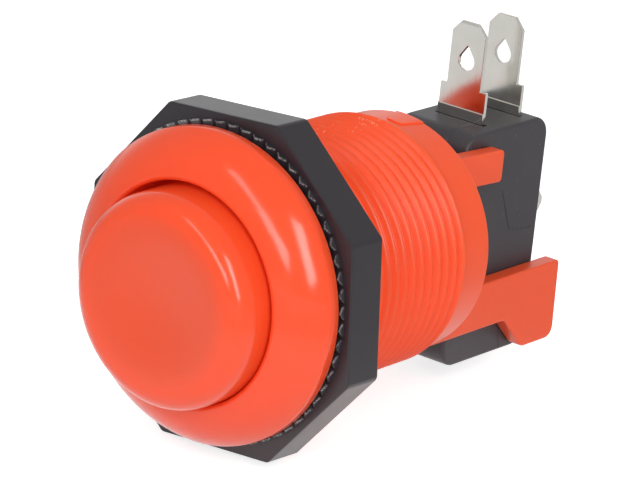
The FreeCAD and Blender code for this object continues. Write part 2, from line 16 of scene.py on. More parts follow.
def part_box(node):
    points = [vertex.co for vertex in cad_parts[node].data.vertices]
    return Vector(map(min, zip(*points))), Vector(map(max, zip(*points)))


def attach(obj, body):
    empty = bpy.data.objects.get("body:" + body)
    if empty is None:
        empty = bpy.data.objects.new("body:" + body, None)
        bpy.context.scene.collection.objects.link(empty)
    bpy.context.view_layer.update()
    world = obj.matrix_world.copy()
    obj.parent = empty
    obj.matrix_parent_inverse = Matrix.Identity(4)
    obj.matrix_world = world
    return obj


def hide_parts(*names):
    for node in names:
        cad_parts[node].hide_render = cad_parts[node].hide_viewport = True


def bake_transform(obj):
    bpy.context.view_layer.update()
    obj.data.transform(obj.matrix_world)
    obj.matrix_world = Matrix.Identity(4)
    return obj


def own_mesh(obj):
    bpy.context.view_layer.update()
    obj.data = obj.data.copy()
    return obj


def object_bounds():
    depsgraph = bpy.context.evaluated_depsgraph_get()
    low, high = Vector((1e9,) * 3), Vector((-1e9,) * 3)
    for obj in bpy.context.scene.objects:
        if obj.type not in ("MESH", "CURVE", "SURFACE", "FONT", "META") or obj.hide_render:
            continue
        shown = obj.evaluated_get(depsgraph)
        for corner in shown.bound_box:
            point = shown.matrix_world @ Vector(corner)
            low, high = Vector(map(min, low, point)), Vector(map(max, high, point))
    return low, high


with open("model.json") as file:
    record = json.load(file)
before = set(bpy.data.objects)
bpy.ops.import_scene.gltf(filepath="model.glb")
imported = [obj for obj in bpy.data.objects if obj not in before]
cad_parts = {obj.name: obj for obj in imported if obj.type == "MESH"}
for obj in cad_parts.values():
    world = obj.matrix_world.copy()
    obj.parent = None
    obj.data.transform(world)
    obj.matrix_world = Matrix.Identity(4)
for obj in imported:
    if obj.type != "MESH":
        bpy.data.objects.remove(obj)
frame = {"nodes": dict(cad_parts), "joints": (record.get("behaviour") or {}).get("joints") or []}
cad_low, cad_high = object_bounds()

MM = 0.001
print("CAD box:", [round(v / MM, 2) for v in (*cad_low, *cad_high)])

# %% [markdown]
# Every edit-mode tool works on whatever is selected, so the habit to learn first is to start clean:
# one object open, nothing selected, then the very faces or edges the next tool is meant for.
# Choosing them by where they lie, and not by number, keeps a step right when an earlier one changes.

# %% Open one object, and select by place


def close_edit():
    """Leaves edit mode and deselects every object."""
    if bpy.context.mode != "OBJECT":
        bpy.ops.object.mode_set(mode="OBJECT")
    bpy.ops.object.select_all(action="DESELECT")


def activate(piece):
    """Makes one object the selected and active one."""
    close_edit()
    piece.select_set(True)
    bpy.context.view_layer.objects.active = piece


def open_edit(piece):
    """Opens one object, and only that one, in edit mode."""
    activate(piece)
    bpy.ops.object.mode_set(mode="EDIT")


def middle(item):
    """Middle of a vertex, edge or face of the open mesh, in mm."""
    corners = [item] if isinstance(item, bmesh.types.BMVert) else item.verts
    return sum((corner.co for corner in corners), Vector()) / len(corners) / MM


def pick(kind, test):
    """Selects those vertices, edges or faces of the open mesh that pass the test, and counts them."""
    bpy.ops.mesh.select_mode(type=kind)
    bpy.ops.mesh.select_all(action="DESELECT")
    data = bpy.context.object.data
    mesh = bmesh.from_edit_mesh(data)
    items = {"VERT": mesh.verts, "EDGE": mesh.edges, "FACE": mesh.faces}[kind]
    chosen = [item for item in items if test(item)]
    for item in chosen:
        item.select_set(True)
    mesh.select_flush_mode()
    bmesh.update_edit_mesh(data)
    return len(chosen)


def pick_all():
    """Selects everything in the open mesh."""
    bpy.ops.mesh.select_all(action="SELECT")


close_edit()
print("nodes in the frame:", len(frame["nodes"]))

# %% [markdown]
# Nearly all of this button is either turned or cut from a plate, so two ways of making are enough.
# A wire is one vertex extruded from corner to corner; rounding a corner is a bevel of that vertex.
# Spun about the barrel's axis the wire is a turned piece; closed, filled and extruded it is a plate.

# %% Wires, turned pieces and plates
TURN_STEPS = 160
SAME_PLACE = 0.002


def wire(name, points):
    """A new object at the origin: one vertex extruded along the points."""
    close_edit()
    bpy.ops.mesh.primitive_plane_add(size=MM)
    piece = bpy.context.object
    piece.name = name
    piece.data.name = name
    open_edit(piece)
    pick_all()
    bpy.ops.mesh.merge(type="CENTER")
    pick("VERT", lambda vertex: True)
    bpy.ops.transform.translate(value=Vector(points[0]) * MM)
    for here, there in zip(points, points[1:]):
        step = (Vector(there) - Vector(here)) * MM
        bpy.ops.mesh.extrude_region_move(TRANSFORM_OT_translate={"value": step})
    return piece


def round_corner(place, leg, segments):
    """Rounds one corner of the open wire or plate; leg is what it takes off each side."""
    pick("VERT", lambda vertex: (middle(vertex) - Vector(place)).length < SAME_PLACE)
    bpy.ops.mesh.bevel(offset=leg * MM, segments=segments, affect="VERTICES")


def weld():
    """Merges doubled vertices of the open mesh and turns its faces outwards."""
    pick_all()
    bpy.ops.mesh.remove_doubles(threshold=SAME_PLACE * MM)
    bpy.ops.mesh.normals_make_consistent(inside=False)


def turned(name, section, rounds=(), steps=TURN_STEPS):
    """Spins a section of (radius, y) corners about the barrel's axis."""
    piece = wire(name, [(radius, y, 0) for radius, y in section])
    for radius, y, leg, segments in rounds:
        round_corner((radius, y, 0), leg, segments)
    pick_all()
    bpy.ops.mesh.spin(steps=steps, angle=2 * math.pi, center=(0, 0, 0), axis=(0, 1, 0))
    weld()
    return piece


def plate(name, outline, through, rounds=()):
    """Fills an outline of corners and extrudes it by the vector through."""
    piece = wire(name, outline)
    pick_all()
    bpy.ops.mesh.edge_face_add()
    for place, leg, segments in rounds:
        round_corner(place, leg, segments)
    pick_all()
    bpy.ops.mesh.extrude_region_move(TRANSFORM_OT_translate={"value": Vector(through) * MM})
    weld()
    return piece


print("a turned piece has", TURN_STEPS, "steps round")

# %% [markdown]
# Holes and slots are easiest as a second solid that is cut away, and arms as solids that are joined on.
# A boolean modifier does both; it is applied at once, so that each piece stays one plain mesh.
# Moulded and stamped edges are never quite sharp, and the small bevel that breaks them catches the light.

# %% Cutting, joining and softening
SMOOTH_ANGLE = 32


def apply_last(piece):
    """Applies the modifier that was added last."""
    activate(piece)
    bpy.ops.object.modifier_apply(modifier=piece.modifiers[-1].name)


def combine(piece, other, operation):
    """Cuts another object out of a piece, or joins it on, and removes that other object."""
    close_edit()
    step = piece.modifiers.new("Combine", "BOOLEAN")
    step.operation = operation
    step.solver = "EXACT"
    step.object = other
    apply_last(piece)
    bpy.data.objects.remove(other)


def soften(piece, width, segments=2, angle=30):
    """Breaks every edge that is sharper than the angle with a small round bevel."""
    close_edit()
    step = piece.modifiers.new("Soften", "BEVEL")
    step.width = width * MM
    step.segments = segments
    step.limit_method = "ANGLE"
    step.angle_limit = math.radians(angle)
    apply_last(piece)


def lean(piece, axis, degrees, centre):
    """Turns a piece a little about an axis through a place, as far as play in its guide lets it."""
    open_edit(piece)
    pick_all()
    # A positive value turns clockwise when looked at against the axis, so the sign is changed here.
    angle = -math.radians(degrees)
    bpy.ops.transform.rotate(value=angle, orient_axis=axis, center_override=Vector(centre) * MM)
    close_edit()


def block(name, low, high):
    """A box between two corners, as a cutter."""
    close_edit()
    low = Vector(low) * MM
    high = Vector(high) * MM
    bpy.ops.mesh.primitive_cube_add(size=1, location=(low + high) / 2, scale=high - low)
    bpy.ops.object.transform_apply()
    bpy.context.object.name = name
    return bpy.context.object


def rod(name, start, radius, through, steps=48):
    """A round bar from a start along the vector through, as a cutter or a peg."""
    close_edit()
    along = Vector(through)
    turn = along.to_track_quat("Z", "Y").to_euler()
    place = (Vector(start) + along / 2) * MM
    bpy.ops.mesh.primitive_cylinder_add(
        vertices=steps, radius=radius * MM, depth=along.length * MM, location=place, rotation=turn
    )
    bpy.ops.object.transform_apply()
    bpy.context.object.name = name
    return bpy.context.object


def seat(piece, node, body, flats=True):
    """Smooths the shading, keeps flats flat if wanted, and seats the piece in place of its CAD node."""
    open_edit(piece)
    weld()
    loose = pick("EDGE", lambda edge: not edge.is_manifold)
    activate(piece)
    bpy.ops.object.shade_smooth_by_angle(angle=math.radians(SMOOTH_ANGLE))
    if flats:
        step = piece.modifiers.new("Weight", "WEIGHTED_NORMAL")
        step.keep_sharp = True
        apply_last(piece)
    close_edit()
    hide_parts(node)
    if body:
        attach(piece, body)
    print(piece.name, "faces", len(piece.data.polygons), "open edges", loose)


print("edges sharper than", SMOOTH_ANGLE, "degrees stay sharp")

# %% [markdown]
# ## The button
# The plunger is one moulding: a dished face inside a round rim, a skirt that runs in the bore, and a stem.
# It is turned, so half of its section is drawn once and spun. The dish is a curve that is level both in the
# middle and at the rim, so that no ring shows where the face meets the rim's round edge.
# A slot splits the stem's end, because its barbs must spring together to pass the end wall.
# At rest the button hangs a little low in its bore, so the finished moulding is leaned by that play.

# %% Turn the plunger
plunger_low, plunger_high = (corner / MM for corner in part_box("plunger"))
PLUNGER_RADIUS = plunger_high.x
PLUNGER_FRONT = plunger_low.y
STEM_END = plunger_high.y
RIM_ROUND = 2.65
RIM_STEPS = 14
DISH_DEPTH = 0.7
DISH_STEPS = 20
CAP_INNER = -6.2
SKIRT_END = 9.0
SKIRT_INNER = 10.25
SKIRT_EDGE = 0.3
STEM_RADIUS = 3.9
BARB_RADIUS = 4.9
BARB_FRONT = 31.75
BARB_REAR = 33.45
STEM_SLOT = 0.8
STEM_SLOT_LENGTH = 10.0
PLUNGER_LEAN = 0.93
LEAN_CENTRE = (0, 14.4, 0)

rim_crest = PLUNGER_RADIUS - RIM_ROUND
dish = []
for step in range(DISH_STEPS + 1):
    share = step / DISH_STEPS
    dish.append((rim_crest * share, PLUNGER_FRONT + DISH_DEPTH * (1 - share**2) ** 2))
plunger = turned(
    "plunger_moulding",
    dish
    + [
        (PLUNGER_RADIUS, PLUNGER_FRONT),
        (PLUNGER_RADIUS, SKIRT_END),
        (SKIRT_INNER, SKIRT_END),
        (SKIRT_INNER, CAP_INNER),
        (STEM_RADIUS, CAP_INNER),
        (STEM_RADIUS, BARB_FRONT),
        (BARB_RADIUS, BARB_FRONT),
        (STEM_RADIUS, BARB_REAR),
        (STEM_RADIUS, STEM_END),
        (0, STEM_END),
    ],
    rounds=[
        (PLUNGER_RADIUS, PLUNGER_FRONT, RIM_ROUND, RIM_STEPS),
        (PLUNGER_RADIUS, SKIRT_END, SKIRT_EDGE, 3),
    ],
)
slot_low = (-STEM_SLOT, STEM_END - STEM_SLOT_LENGTH, -2 * STEM_RADIUS)
slot_high = (STEM_SLOT, STEM_END + STEM_SLOT_LENGTH, 2 * STEM_RADIUS)
combine(plunger, block("stem_slot", slot_low, slot_high), "DIFFERENCE")
lean(plunger, "X", PLUNGER_LEAN, LEAN_CENTRE)
rim_end = (PLUNGER_FRONT + RIM_ROUND) * MM
rim = [vertex.co.z / MM for vertex in plunger.data.vertices if vertex.co.y < rim_end]
print("the button's rim sits at z", round((min(rim) + max(rim)) / 2, 2))
seat(plunger, "plunger", "plunger", flats=False)

# %% [markdown]
# ## The body
# Bezel, barrel, end wall and arms are one moulding. Its smooth part is turned from a wire that is left open
# where the thread will be. The bezel's front is one wide arc above a short plain wall, with a narrow round
# between them that catches a thin line of light. A small arc rolls the front into the bore: it lies inside
# the wide one, so the two centres are as far apart as the radii differ.

# %% Turn the bezel and the barrel
_, body_high = (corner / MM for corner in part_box("body"))
BEZEL_TRIM = 0.18
BEZEL_RADIUS = body_high.x - BEZEL_TRIM
BEZEL_FOOT = 0.12
BEZEL_SHOULDER = 0.5
SWELL_RADIUS = 7.25
SWELL_CENTRE = Vector((10.9, 1.97))
SWELL_STEPS = 28
LIP_RADIUS = 0.5
LIP_STEPS = 8
BORE_RADIUS = 12.2
COLLAR_RADIUS = 13.5
THREAD_START = 1.7
THREAD_END = 26.86
WALL_FRONT = 29.65
BARREL_REAR = 31.65
GUIDE_FRONT = 14.05
GUIDE_RADIUS = 6.4
STEM_HOLE = 4.2
BAND_RADIUS = 13.7
BAND_EDGE = 0.3
BAND_SLOPE = 0.15


def arc(centre, radius, first, last, steps):
    """Corners of a section along an arc, from one angle to another."""
    angles = [first + (last - first) * step / steps for step in range(steps + 1)]
    return [(centre.x + radius * math.cos(angle), centre.y + radius * math.sin(angle)) for angle in angles]


lip_across = BORE_RADIUS + LIP_RADIUS - SWELL_CENTRE.x
lip_along = math.sqrt((SWELL_RADIUS - LIP_RADIUS) ** 2 - lip_across**2)
lip_centre = SWELL_CENTRE + Vector((lip_across, -lip_along))
swell_start = -math.acos((BEZEL_RADIUS - SWELL_CENTRE.x) / SWELL_RADIUS)
swell_end = math.atan2(-lip_along, lip_across)
wall_edge = SWELL_CENTRE.y + SWELL_RADIUS * math.sin(swell_start)
body = turned(
    "body_moulding",
    [
        (COLLAR_RADIUS, THREAD_START),
        (COLLAR_RADIUS, 0),
        (BEZEL_RADIUS, 0),
        *arc(SWELL_CENTRE, SWELL_RADIUS, swell_start, swell_end, SWELL_STEPS),
        *arc(lip_centre, LIP_RADIUS, swell_end, -math.pi, LIP_STEPS)[1:],
        (BORE_RADIUS, WALL_FRONT),
        (GUIDE_RADIUS, WALL_FRONT),
        (GUIDE_RADIUS, GUIDE_FRONT),
        (STEM_HOLE, GUIDE_FRONT),
        (STEM_HOLE, BARREL_REAR),
        (BAND_RADIUS, BARREL_REAR),
        (BAND_RADIUS, THREAD_END + BAND_SLOPE),
        (COLLAR_RADIUS, THREAD_END),
    ],
    rounds=[
        (BEZEL_RADIUS, 0, BEZEL_FOOT, 2),
        (BEZEL_RADIUS, wall_edge, BEZEL_SHOULDER, 5),
        (BAND_RADIUS, BARREL_REAR, BAND_EDGE, 4),
    ],
)
close_edit()
print("barrel faces:", len(body.data.polygons))

# %% [markdown]
# The thread is moulded, so its crests and roots are slightly round. One pitch of its profile is a wave.
# A screw modifier winds it round the axis while it climbs, as a real thread does; it is wound too long
# and trimmed flat at both ends with bisect, whose threshold has to be far below the thread's fine steps.

# %% Wind the thread
THREAD_ROOT = 13.6
THREAD_CREST = 14.4
THREAD_PITCH = 1.48
PITCH_STEPS = 12
THREAD_LEAD = 2
THREAD_WIND = 20
CUT_CLOSENESS = 1e-7


def thread_radius(share):
    """Radius at a share of the pitch: from root to crest and back."""
    wave = 0.5 - 0.5 * math.cos(2 * math.pi * share)
    return THREAD_ROOT + (THREAD_CREST - THREAD_ROOT) * wave


def wind(piece, pitch, turns, steps):
    """Winds a section round the barrel's axis while it climbs, and opens the result."""
    close_edit()
    step = piece.modifiers.new("Wind", "SCREW")
    step.axis = "Y"
    step.angle = 2 * math.pi
    step.screw_offset = pitch * MM
    step.iterations = turns
    step.steps = steps
    step.render_steps = steps
    apply_last(piece)
    open_edit(piece)


profile = []
for step in range(PITCH_STEPS + 1):
    share = step / PITCH_STEPS
    profile.append((thread_radius(share), THREAD_START + THREAD_PITCH * (share - THREAD_LEAD), 0))
thread = wire("thread", profile)
wind(thread, THREAD_PITCH, THREAD_WIND, TURN_STEPS)
weld()
for y, facing in ((THREAD_START, -1), (THREAD_END, 1)):
    pick_all()
    bpy.ops.mesh.bisect(
        plane_co=(0, y * MM, 0), plane_no=(0, facing, 0), clear_outer=True, threshold=CUT_CLOSENESS
    )
close_edit()
print("thread faces:", len(thread.data.polygons))

# %% [markdown]
# The barrel's wire was left open where the thread now lies, so both meshes end in open rims at the same two
# places. Once they are one object, each pair of rims is bridged with faces, and the moulding is closed.

# %% Close the thread onto the barrel
RIM_CLOSENESS = 0.01

thread.select_set(True)
body.select_set(True)
bpy.context.view_layer.objects.active = body
bpy.ops.object.join()
open_edit(body)
for y in (THREAD_START, THREAD_END):
    rims = pick("EDGE", lambda edge: edge.is_boundary and abs(middle(edge).y - y) < RIM_CLOSENESS)
    bpy.ops.mesh.bridge_edge_loops()
    print("bridged", rims, "edges at y", y)
weld()
close_edit()

# %% [markdown]
# Four arms reach back from the end wall and hold the switch between them: a short one and a long leg on
# each side. Each is a plate with softened edges and a peg that sits in one of the switch's holes.
# The left arms mirror the right ones, so one outline serves both, with the sign of x as the only change.

# %% Shape the arms and their pegs
case_low, case_high = (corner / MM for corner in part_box("switch_case"))
cover_low, cover_high = (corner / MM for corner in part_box("switch_cover"))
SWITCH_FRONT = case_low.y
SWITCH_REAR = case_high.y
SWITCH_TOP = case_high.z
SWITCH_BOTTOM = case_low.z
CASE_SIDE = case_low.x
COVER_SIDE = cover_high.x
SEAM_X = cover_low.x
HOLE_INSET = 2.8
UPPER_HOLE = (SWITCH_FRONT + HOLE_INSET, SWITCH_TOP - HOLE_INSET)
LOWER_HOLE = (SWITCH_REAR - HOLE_INSET, SWITCH_BOTTOM + HOLE_INSET)
ARM_ROOT = 30.65
ARM_CLEARANCE = 0.1
ARM_INNER = COVER_SIDE + ARM_CLEARANCE
ARM_THICKNESS = 1.9
ARM_EDGE = 0.22
ARM_END = UPPER_HOLE[0] + 1.95
ARM_HEIGHTS_ROOT = (-2.1, 1.7)
ARM_HEIGHTS_END = (-2.7, 1.1)
ARM_ROUNDS = {1: 0.5, 2: 0.5}
PEG_RADIUS = 1.05
PEG_ROOT = 0.4
PEG_LENGTH = 2.1
LEG_TOP = LOWER_HOLE[1] + 7.4
LEG_NECK = LOWER_HOLE[1] + 1.9
LEG_LOW = LOWER_HOLE[1] - 2.2
LEG_END = body_high.y
LEG_SLANT = 0.35
LEG_ROUNDS = {1: 0.3, 2: 0.5, 3: 1.4, 4: 0.5}
LOBE_FRONT = LOWER_HOLE[0] - 0.3
LOBE_SLOPE = 4.1

upper_arm = [
    (ARM_ROOT, UPPER_HOLE[1] + ARM_HEIGHTS_ROOT[0]),
    (ARM_END, UPPER_HOLE[1] + ARM_HEIGHTS_END[0]),
    (ARM_END, UPPER_HOLE[1] + ARM_HEIGHTS_END[1]),
    (ARM_ROOT, UPPER_HOLE[1] + ARM_HEIGHTS_ROOT[1]),
]
lower_leg = [
    (ARM_ROOT, LEG_NECK),
    (LOBE_FRONT - LOBE_SLOPE, LEG_NECK),
    (LOBE_FRONT, LEG_LOW),
    (LEG_END, LEG_LOW),
    (LEG_END - LEG_SLANT, LEG_TOP),
    (ARM_ROOT, LEG_TOP),
]
arms = []
for side in (1, -1):
    for outline, corners, hole in (
        (upper_arm, ARM_ROUNDS, UPPER_HOLE),
        (lower_leg, LEG_ROUNDS, LOWER_HOLE),
    ):
        points = [(side * ARM_INNER, y, z) for y, z in outline]
        rounds = [(points[corner], leg, 6) for corner, leg in corners.items()]
        arm = plate("arm", points, (side * ARM_THICKNESS, 0, 0), rounds)
        soften(arm, ARM_EDGE, 3)
        peg_root = (side * (ARM_INNER + PEG_ROOT), *hole)
        combine(arm, rod("peg", peg_root, PEG_RADIUS, (-side * PEG_LENGTH, 0, 0)), "UNION")
        arms.append(arm)
print("arms with pegs:", len(arms))

# %% [markdown]
# On the band stands a low key that widens to the rear. It is a plate, cut down to the shell between two rods.
# These have another number of sides than the barrel, because an exact boolean can fail where facets coincide.
# The arms are united with the body first, all at once, and then the key.

# %% Cut the key, and unite it all
KEY_FRONT = 28.2
KEY_REAR = 31.35
KEY_LEFT = (0.3, -0.8)
KEY_RIGHT = (2.2, 3.0)
KEY_RADIUS = 13.88
KEY_STEPS = 150
KEY_SPARE = 1
KEY_SINK = 0.6
KEY_EDGE = 0.06

key = plate(
    "key",
    [
        (KEY_LEFT[0], KEY_FRONT, BORE_RADIUS),
        (KEY_RIGHT[0], KEY_FRONT, BORE_RADIUS),
        (KEY_RIGHT[1], KEY_REAR, BORE_RADIUS),
        (KEY_LEFT[1], KEY_REAR, BORE_RADIUS),
    ],
    (0, 0, KEY_RADIUS - BORE_RADIUS + KEY_SPARE),
)
key_shell = rod("key_shell", (0, 0, 0), KEY_RADIUS, (0, 2 * KEY_REAR, 0), KEY_STEPS)
combine(key, key_shell, "INTERSECT")
key_hollow = rod("key_hollow", (0, 0, 0), BAND_RADIUS - KEY_SINK, (0, 2 * KEY_REAR, 0), KEY_STEPS)
combine(key, key_hollow, "DIFFERENCE")
soften(key, KEY_EDGE, 2)
activate(arms[0])
for arm in arms:
    arm.select_set(True)
bpy.ops.object.join()
combine(body, arms[0], "UNION")
combine(body, key, "UNION")
seat(body, "body", "housing")

# %% [markdown]
# ## The nut
# The nut is moulded in black nylon: an eight-sided plate with a round bore, and its corners are broken a
# little. Its flats are turned a few degrees from the upright, as they happen to stand in the picture.

# %% Cut the nut
nut_low, nut_high = (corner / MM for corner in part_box("nut"))
NUT_REAR = nut_high.y
TOOTH_TIP = nut_low.y
TOOTH_HEIGHT = 0.6
NUT_FRONT = TOOTH_TIP + TOOTH_HEIGHT
NUT_MIDDLE = (NUT_FRONT + NUT_REAR) / 2
NUT_TURN = 5.0
NUT_SIDES = 8
NUT_ACROSS_FLATS = 37.05
NUT_CORNER = NUT_ACROSS_FLATS / 2 / math.cos(math.pi / NUT_SIDES)
NUT_ROUND = 0.33
NUT_BORE = 14.55
NUT_EDGE = 0.2
NUT_EDGE_ANGLE = 40

corners = []
for side in range(NUT_SIDES):
    angle = math.radians(NUT_TURN + (side + 0.5) * 360 / NUT_SIDES)
    corners.append((NUT_CORNER * math.cos(angle), NUT_FRONT, NUT_CORNER * math.sin(angle)))
rounds = [(corner, NUT_ROUND, 4) for corner in corners]
nut = plate("nut_moulding", corners, (0, NUT_REAR - NUT_FRONT, 0), rounds)
combine(nut, rod("nut_bore", (0, 0, 0), NUT_BORE, (0, 2 * NUT_REAR, 0), TURN_STEPS), "DIFFERENCE")
soften(nut, NUT_EDGE, 2, NUT_EDGE_ANGLE)
print("nut faces before its teeth:", len(nut.data.polygons))

# %% [markdown]
# On the face towards the panel stands a ring of small teeth that keep the nut from working loose. One tooth
# is modelled, then spin copies it round the axis. The thread is loose, so the nut that is not tightened sits
# slightly askew: it is leaned about the upright axis and moved back to clear the bezel.

# %% Spin the teeth, and lean the nut
TOOTH_COUNT = 60
TOOTH_INNER = 15.825
TOOTH_OUTER = 17.75
TOOTH_SHARE = 0.96
TOOTH_SINK = 0.4
TOOTH_EDGE = 0.08
NUT_LEAN = -2.26
NUT_BACK = 0.59

half_tooth = TOOTH_SHARE * math.pi * TOOTH_INNER / TOOTH_COUNT
tooth = plate(
    "tooth",
    [
        (TOOTH_INNER, NUT_FRONT + TOOTH_SINK, -half_tooth),
        (TOOTH_INNER, NUT_FRONT, -half_tooth),
        (TOOTH_INNER, TOOTH_TIP, 0),
        (TOOTH_INNER, NUT_FRONT, half_tooth),
        (TOOTH_INNER, NUT_FRONT + TOOTH_SINK, half_tooth),
    ],
    (TOOTH_OUTER - TOOTH_INNER, 0, 0),
)
soften(tooth, TOOTH_EDGE, 2)
open_edit(tooth)
pick_all()
turn = 2 * math.pi / TOOTH_COUNT
bpy.ops.mesh.spin(
    steps=TOOTH_COUNT - 1, dupli=True, angle=turn * (TOOTH_COUNT - 1), center=(0, 0, 0), axis=(0, 1, 0)
)
weld()
combine(nut, tooth, "UNION")
lean(nut, "Z", NUT_LEAN, (0, NUT_MIDDLE, 0))
open_edit(nut)
pick_all()
bpy.ops.transform.translate(value=(0, NUT_BACK * MM, 0))
close_edit()
print("teeth begin at y", round(min(vertex.co.y for vertex in nut.data.vertices) / MM, 2))
seat(nut, "nut", "nut")

# %% [markdown]
# ## The switch
# Its housing is two mouldings, a deep case and a shallow cover, closed face to face: the seam shows as a
# fine line on the ends. What is cut out of both comes first: the room inside, the fixing holes, the slots for
# the tabs and the hole for the pin. The cover's side also has a few fine mould lines.

# %% Cutters for the switch
SWITCH_WALL = 1.3
HOLE_RADIUS = 1.2
HOLE_WALL = 0.9
PIN_HOLE = 1.58
TAB_YS = (SWITCH_FRONT + 5.58, SWITCH_FRONT + 12.38)
COM_TAB_Z = -2.0
SLOT_HALF = 0.38
SLOT_BASE = 3.5
LINE_HALF = 0.14
LINE_DEPTH = 0.04
LINE_SPARE = 1
COVER_LINES = (
    ((45.2, 3.5), (47.4, -1.6)),
    ((47.4, -1.6), (51.8, -2.1)),
    ((47.5, -12.6), (48.2, -16.5)),
)


def switch_room():
    """The hollow inside the switch, with the two tubes round the fixing holes left standing."""
    wall = SWITCH_WALL
    low = (CASE_SIDE + wall, SWITCH_FRONT + wall, SWITCH_BOTTOM + wall)
    room = block("room", low, (COVER_SIDE - wall, SWITCH_REAR - wall, SWITCH_TOP - wall))
    for hole in (UPPER_HOLE, LOWER_HOLE):
        tube = rod("tube", (2 * CASE_SIDE, *hole), HOLE_RADIUS + HOLE_WALL, (4 * COVER_SIDE, 0, 0))
        combine(room, tube, "DIFFERENCE")
    return room


def switch_openings():
    """Cutters for everything that passes through the switch's walls."""
    deep = 2 * SWITCH_WALL
    cutters = []
    for hole in (UPPER_HOLE, LOWER_HOLE):
        cutters.append(rod("hole", (2 * CASE_SIDE, *hole), HOLE_RADIUS, (4 * COVER_SIDE, 0, 0)))
    for y in TAB_YS:
        low = (-SLOT_BASE, y - SLOT_HALF, SWITCH_TOP - deep)
        cutters.append(block("slot", low, (SLOT_BASE, y + SLOT_HALF, SWITCH_TOP + deep)))
    low = (-SLOT_HALF, SWITCH_REAR - deep, COM_TAB_Z - SLOT_BASE)
    cutters.append(block("slot", low, (SLOT_HALF, SWITCH_REAR + deep, COM_TAB_Z + SLOT_BASE)))
    cutters.append(rod("pin_hole", (0, SWITCH_FRONT - deep, 0), PIN_HOLE, (0, 2 * deep, 0)))
    return cutters


def cover_grooves():
    """Cutters for the fine mould lines on the cover's side, each a thin strip between two (y, z) places."""
    cutters = []
    for start, end in COVER_LINES:
        along = (Vector(end) - Vector(start)).normalized()
        aside = Vector((-along.y, along.x)) * LINE_HALF
        quad = [Vector(start) - aside, Vector(end) - aside, Vector(end) + aside, Vector(start) + aside]
        points = [(COVER_SIDE - LINE_DEPTH, *corner) for corner in quad]
        cutters.append(plate("line", points, (LINE_SPARE, 0, 0)))
    return cutters


print("tabs leave the switch's top end at y", [round(y, 2) for y in TAB_YS])

# %% [markdown]
# Each half is the same rounded outline, extruded from its side to the seam, then hollowed and drilled.
# The bevel is wide on the outside and a hair wide at the seam, which is what makes the line.

# %% Mould the case and its cover
SWITCH_CORNER = 2.4
SWITCH_EDGE = 0.4
SEAM_EDGE = 0.07

switch_outline = [
    (SWITCH_FRONT, SWITCH_BOTTOM),
    (SWITCH_REAR, SWITCH_BOTTOM),
    (SWITCH_REAR, SWITCH_TOP),
    (SWITCH_FRONT, SWITCH_TOP),
]
halves = []
for name, node, outer in (
    ("switch_case_moulding", "switch_case", CASE_SIDE),
    ("switch_cover_moulding", "switch_cover", COVER_SIDE),
):
    points = [(outer, y, z) for y, z in switch_outline]
    half = plate(name, points, (SEAM_X - outer, 0, 0), [(point, SWITCH_CORNER, 8) for point in points])
    for x, width, segments in ((outer, SWITCH_EDGE, 4), (SEAM_X, SEAM_EDGE, 1)):
        pick("EDGE", lambda edge: all(abs(corner.co.x / MM - x) < SAME_PLACE for corner in edge.verts))
        bpy.ops.mesh.bevel(offset=width * MM, segments=segments, affect="EDGES")
    combine(half, switch_room(), "DIFFERENCE")
    for cutter in switch_openings() + (cover_grooves() if node == "switch_cover" else []):
        combine(half, cutter, "DIFFERENCE")
    seat(half, node, "housing")
    halves.append(half)

# %% [markdown]
# ## The terminals
# The three tabs are stamped from thin sheet: a wide base that sits in the housing, a blade with slanted
# corners at its tip, and a drop-shaped eye for a wire. The stamp presses the tip thinner, so it slides easily
# into a receptacle. The outline is drawn flat, the eye is cut, the tip is pinched, and then the edges break.

# %% How a tab is stamped
TAB_HALF = 2.35
TAB_BASE_HALF = 3.2
TAB_TIP_HALF = 1.15
TAB_TIP_HEIGHT = 1.35
TAB_THICKNESS = 0.5
TAB_HEIGHT = 11.4
TAB_SHOULDER = 3.75
TAB_LEDGE = 2.6
TAB_LEG = 6.4
TAB_LEG_HALF = 2.0
EYE_HEIGHT = 6.8
EYE_RADIUS = 1.08
EYE_POINT = 1.85
EYE_STEPS = 24
TAB_EDGE = 0.07
TAB_EDGE_ANGLE = 25
COIN_LENGTH = 0.7
COIN_SHARE = 0.6
TIP_CLOSENESS = 0.01


def drop(height):
    """Outline of a drop-shaped eye as (across, along): a circle drawn out to a point."""
    tangent = math.acos(EYE_RADIUS / EYE_POINT)
    turn = 2 * math.pi - 2 * tangent
    angles = [math.pi / 2 + tangent + turn * step / EYE_STEPS for step in range(EYE_STEPS + 1)]
    return [(0, height + EYE_POINT)] + [
        (EYE_RADIUS * math.cos(angle), height + EYE_RADIUS * math.sin(angle)) for angle in angles
    ]


def stamp(name, outline, place, through, tip, along):
    """Cuts a tab from sheet: outline and eye as (across, along) pairs, put in space by place."""
    piece = plate(name, [place(*pair) for pair in outline], through)
    sheet = Vector(through)
    drop_points = [Vector(place(*pair)) - sheet for pair in drop(tip - TAB_HEIGHT + EYE_HEIGHT)]
    combine(piece, plate("eye", drop_points, 3 * sheet), "DIFFERENCE")
    open_edit(piece)
    pick_all()
    bpy.ops.mesh.bisect(plane_co=(tip - COIN_LENGTH) * MM * along, plane_no=along)
    pick("VERT", lambda vertex: middle(vertex).dot(along) > tip - TIP_CLOSENESS)
    flat = Vector([COIN_SHARE if part else 1 for part in sheet])
    core = Vector(place(0, tip)) + sheet / 2
    bpy.ops.transform.resize(value=flat, center_override=core * MM)
    soften(piece, TAB_EDGE, 2, TAB_EDGE_ANGLE)
    return piece


print("an eye is", 2 * EYE_RADIUS, "mm wide")

# %% [markdown]
# The two upright tabs share one outline, drawn as its right half and mirrored, and the rear one sits a little
# to the side. Above the housing a raised strip crosses the base, where the sheet was clamped. It is a thin
# wedge: its top edge shows as a bright line, and its face looks down at the dark housing.

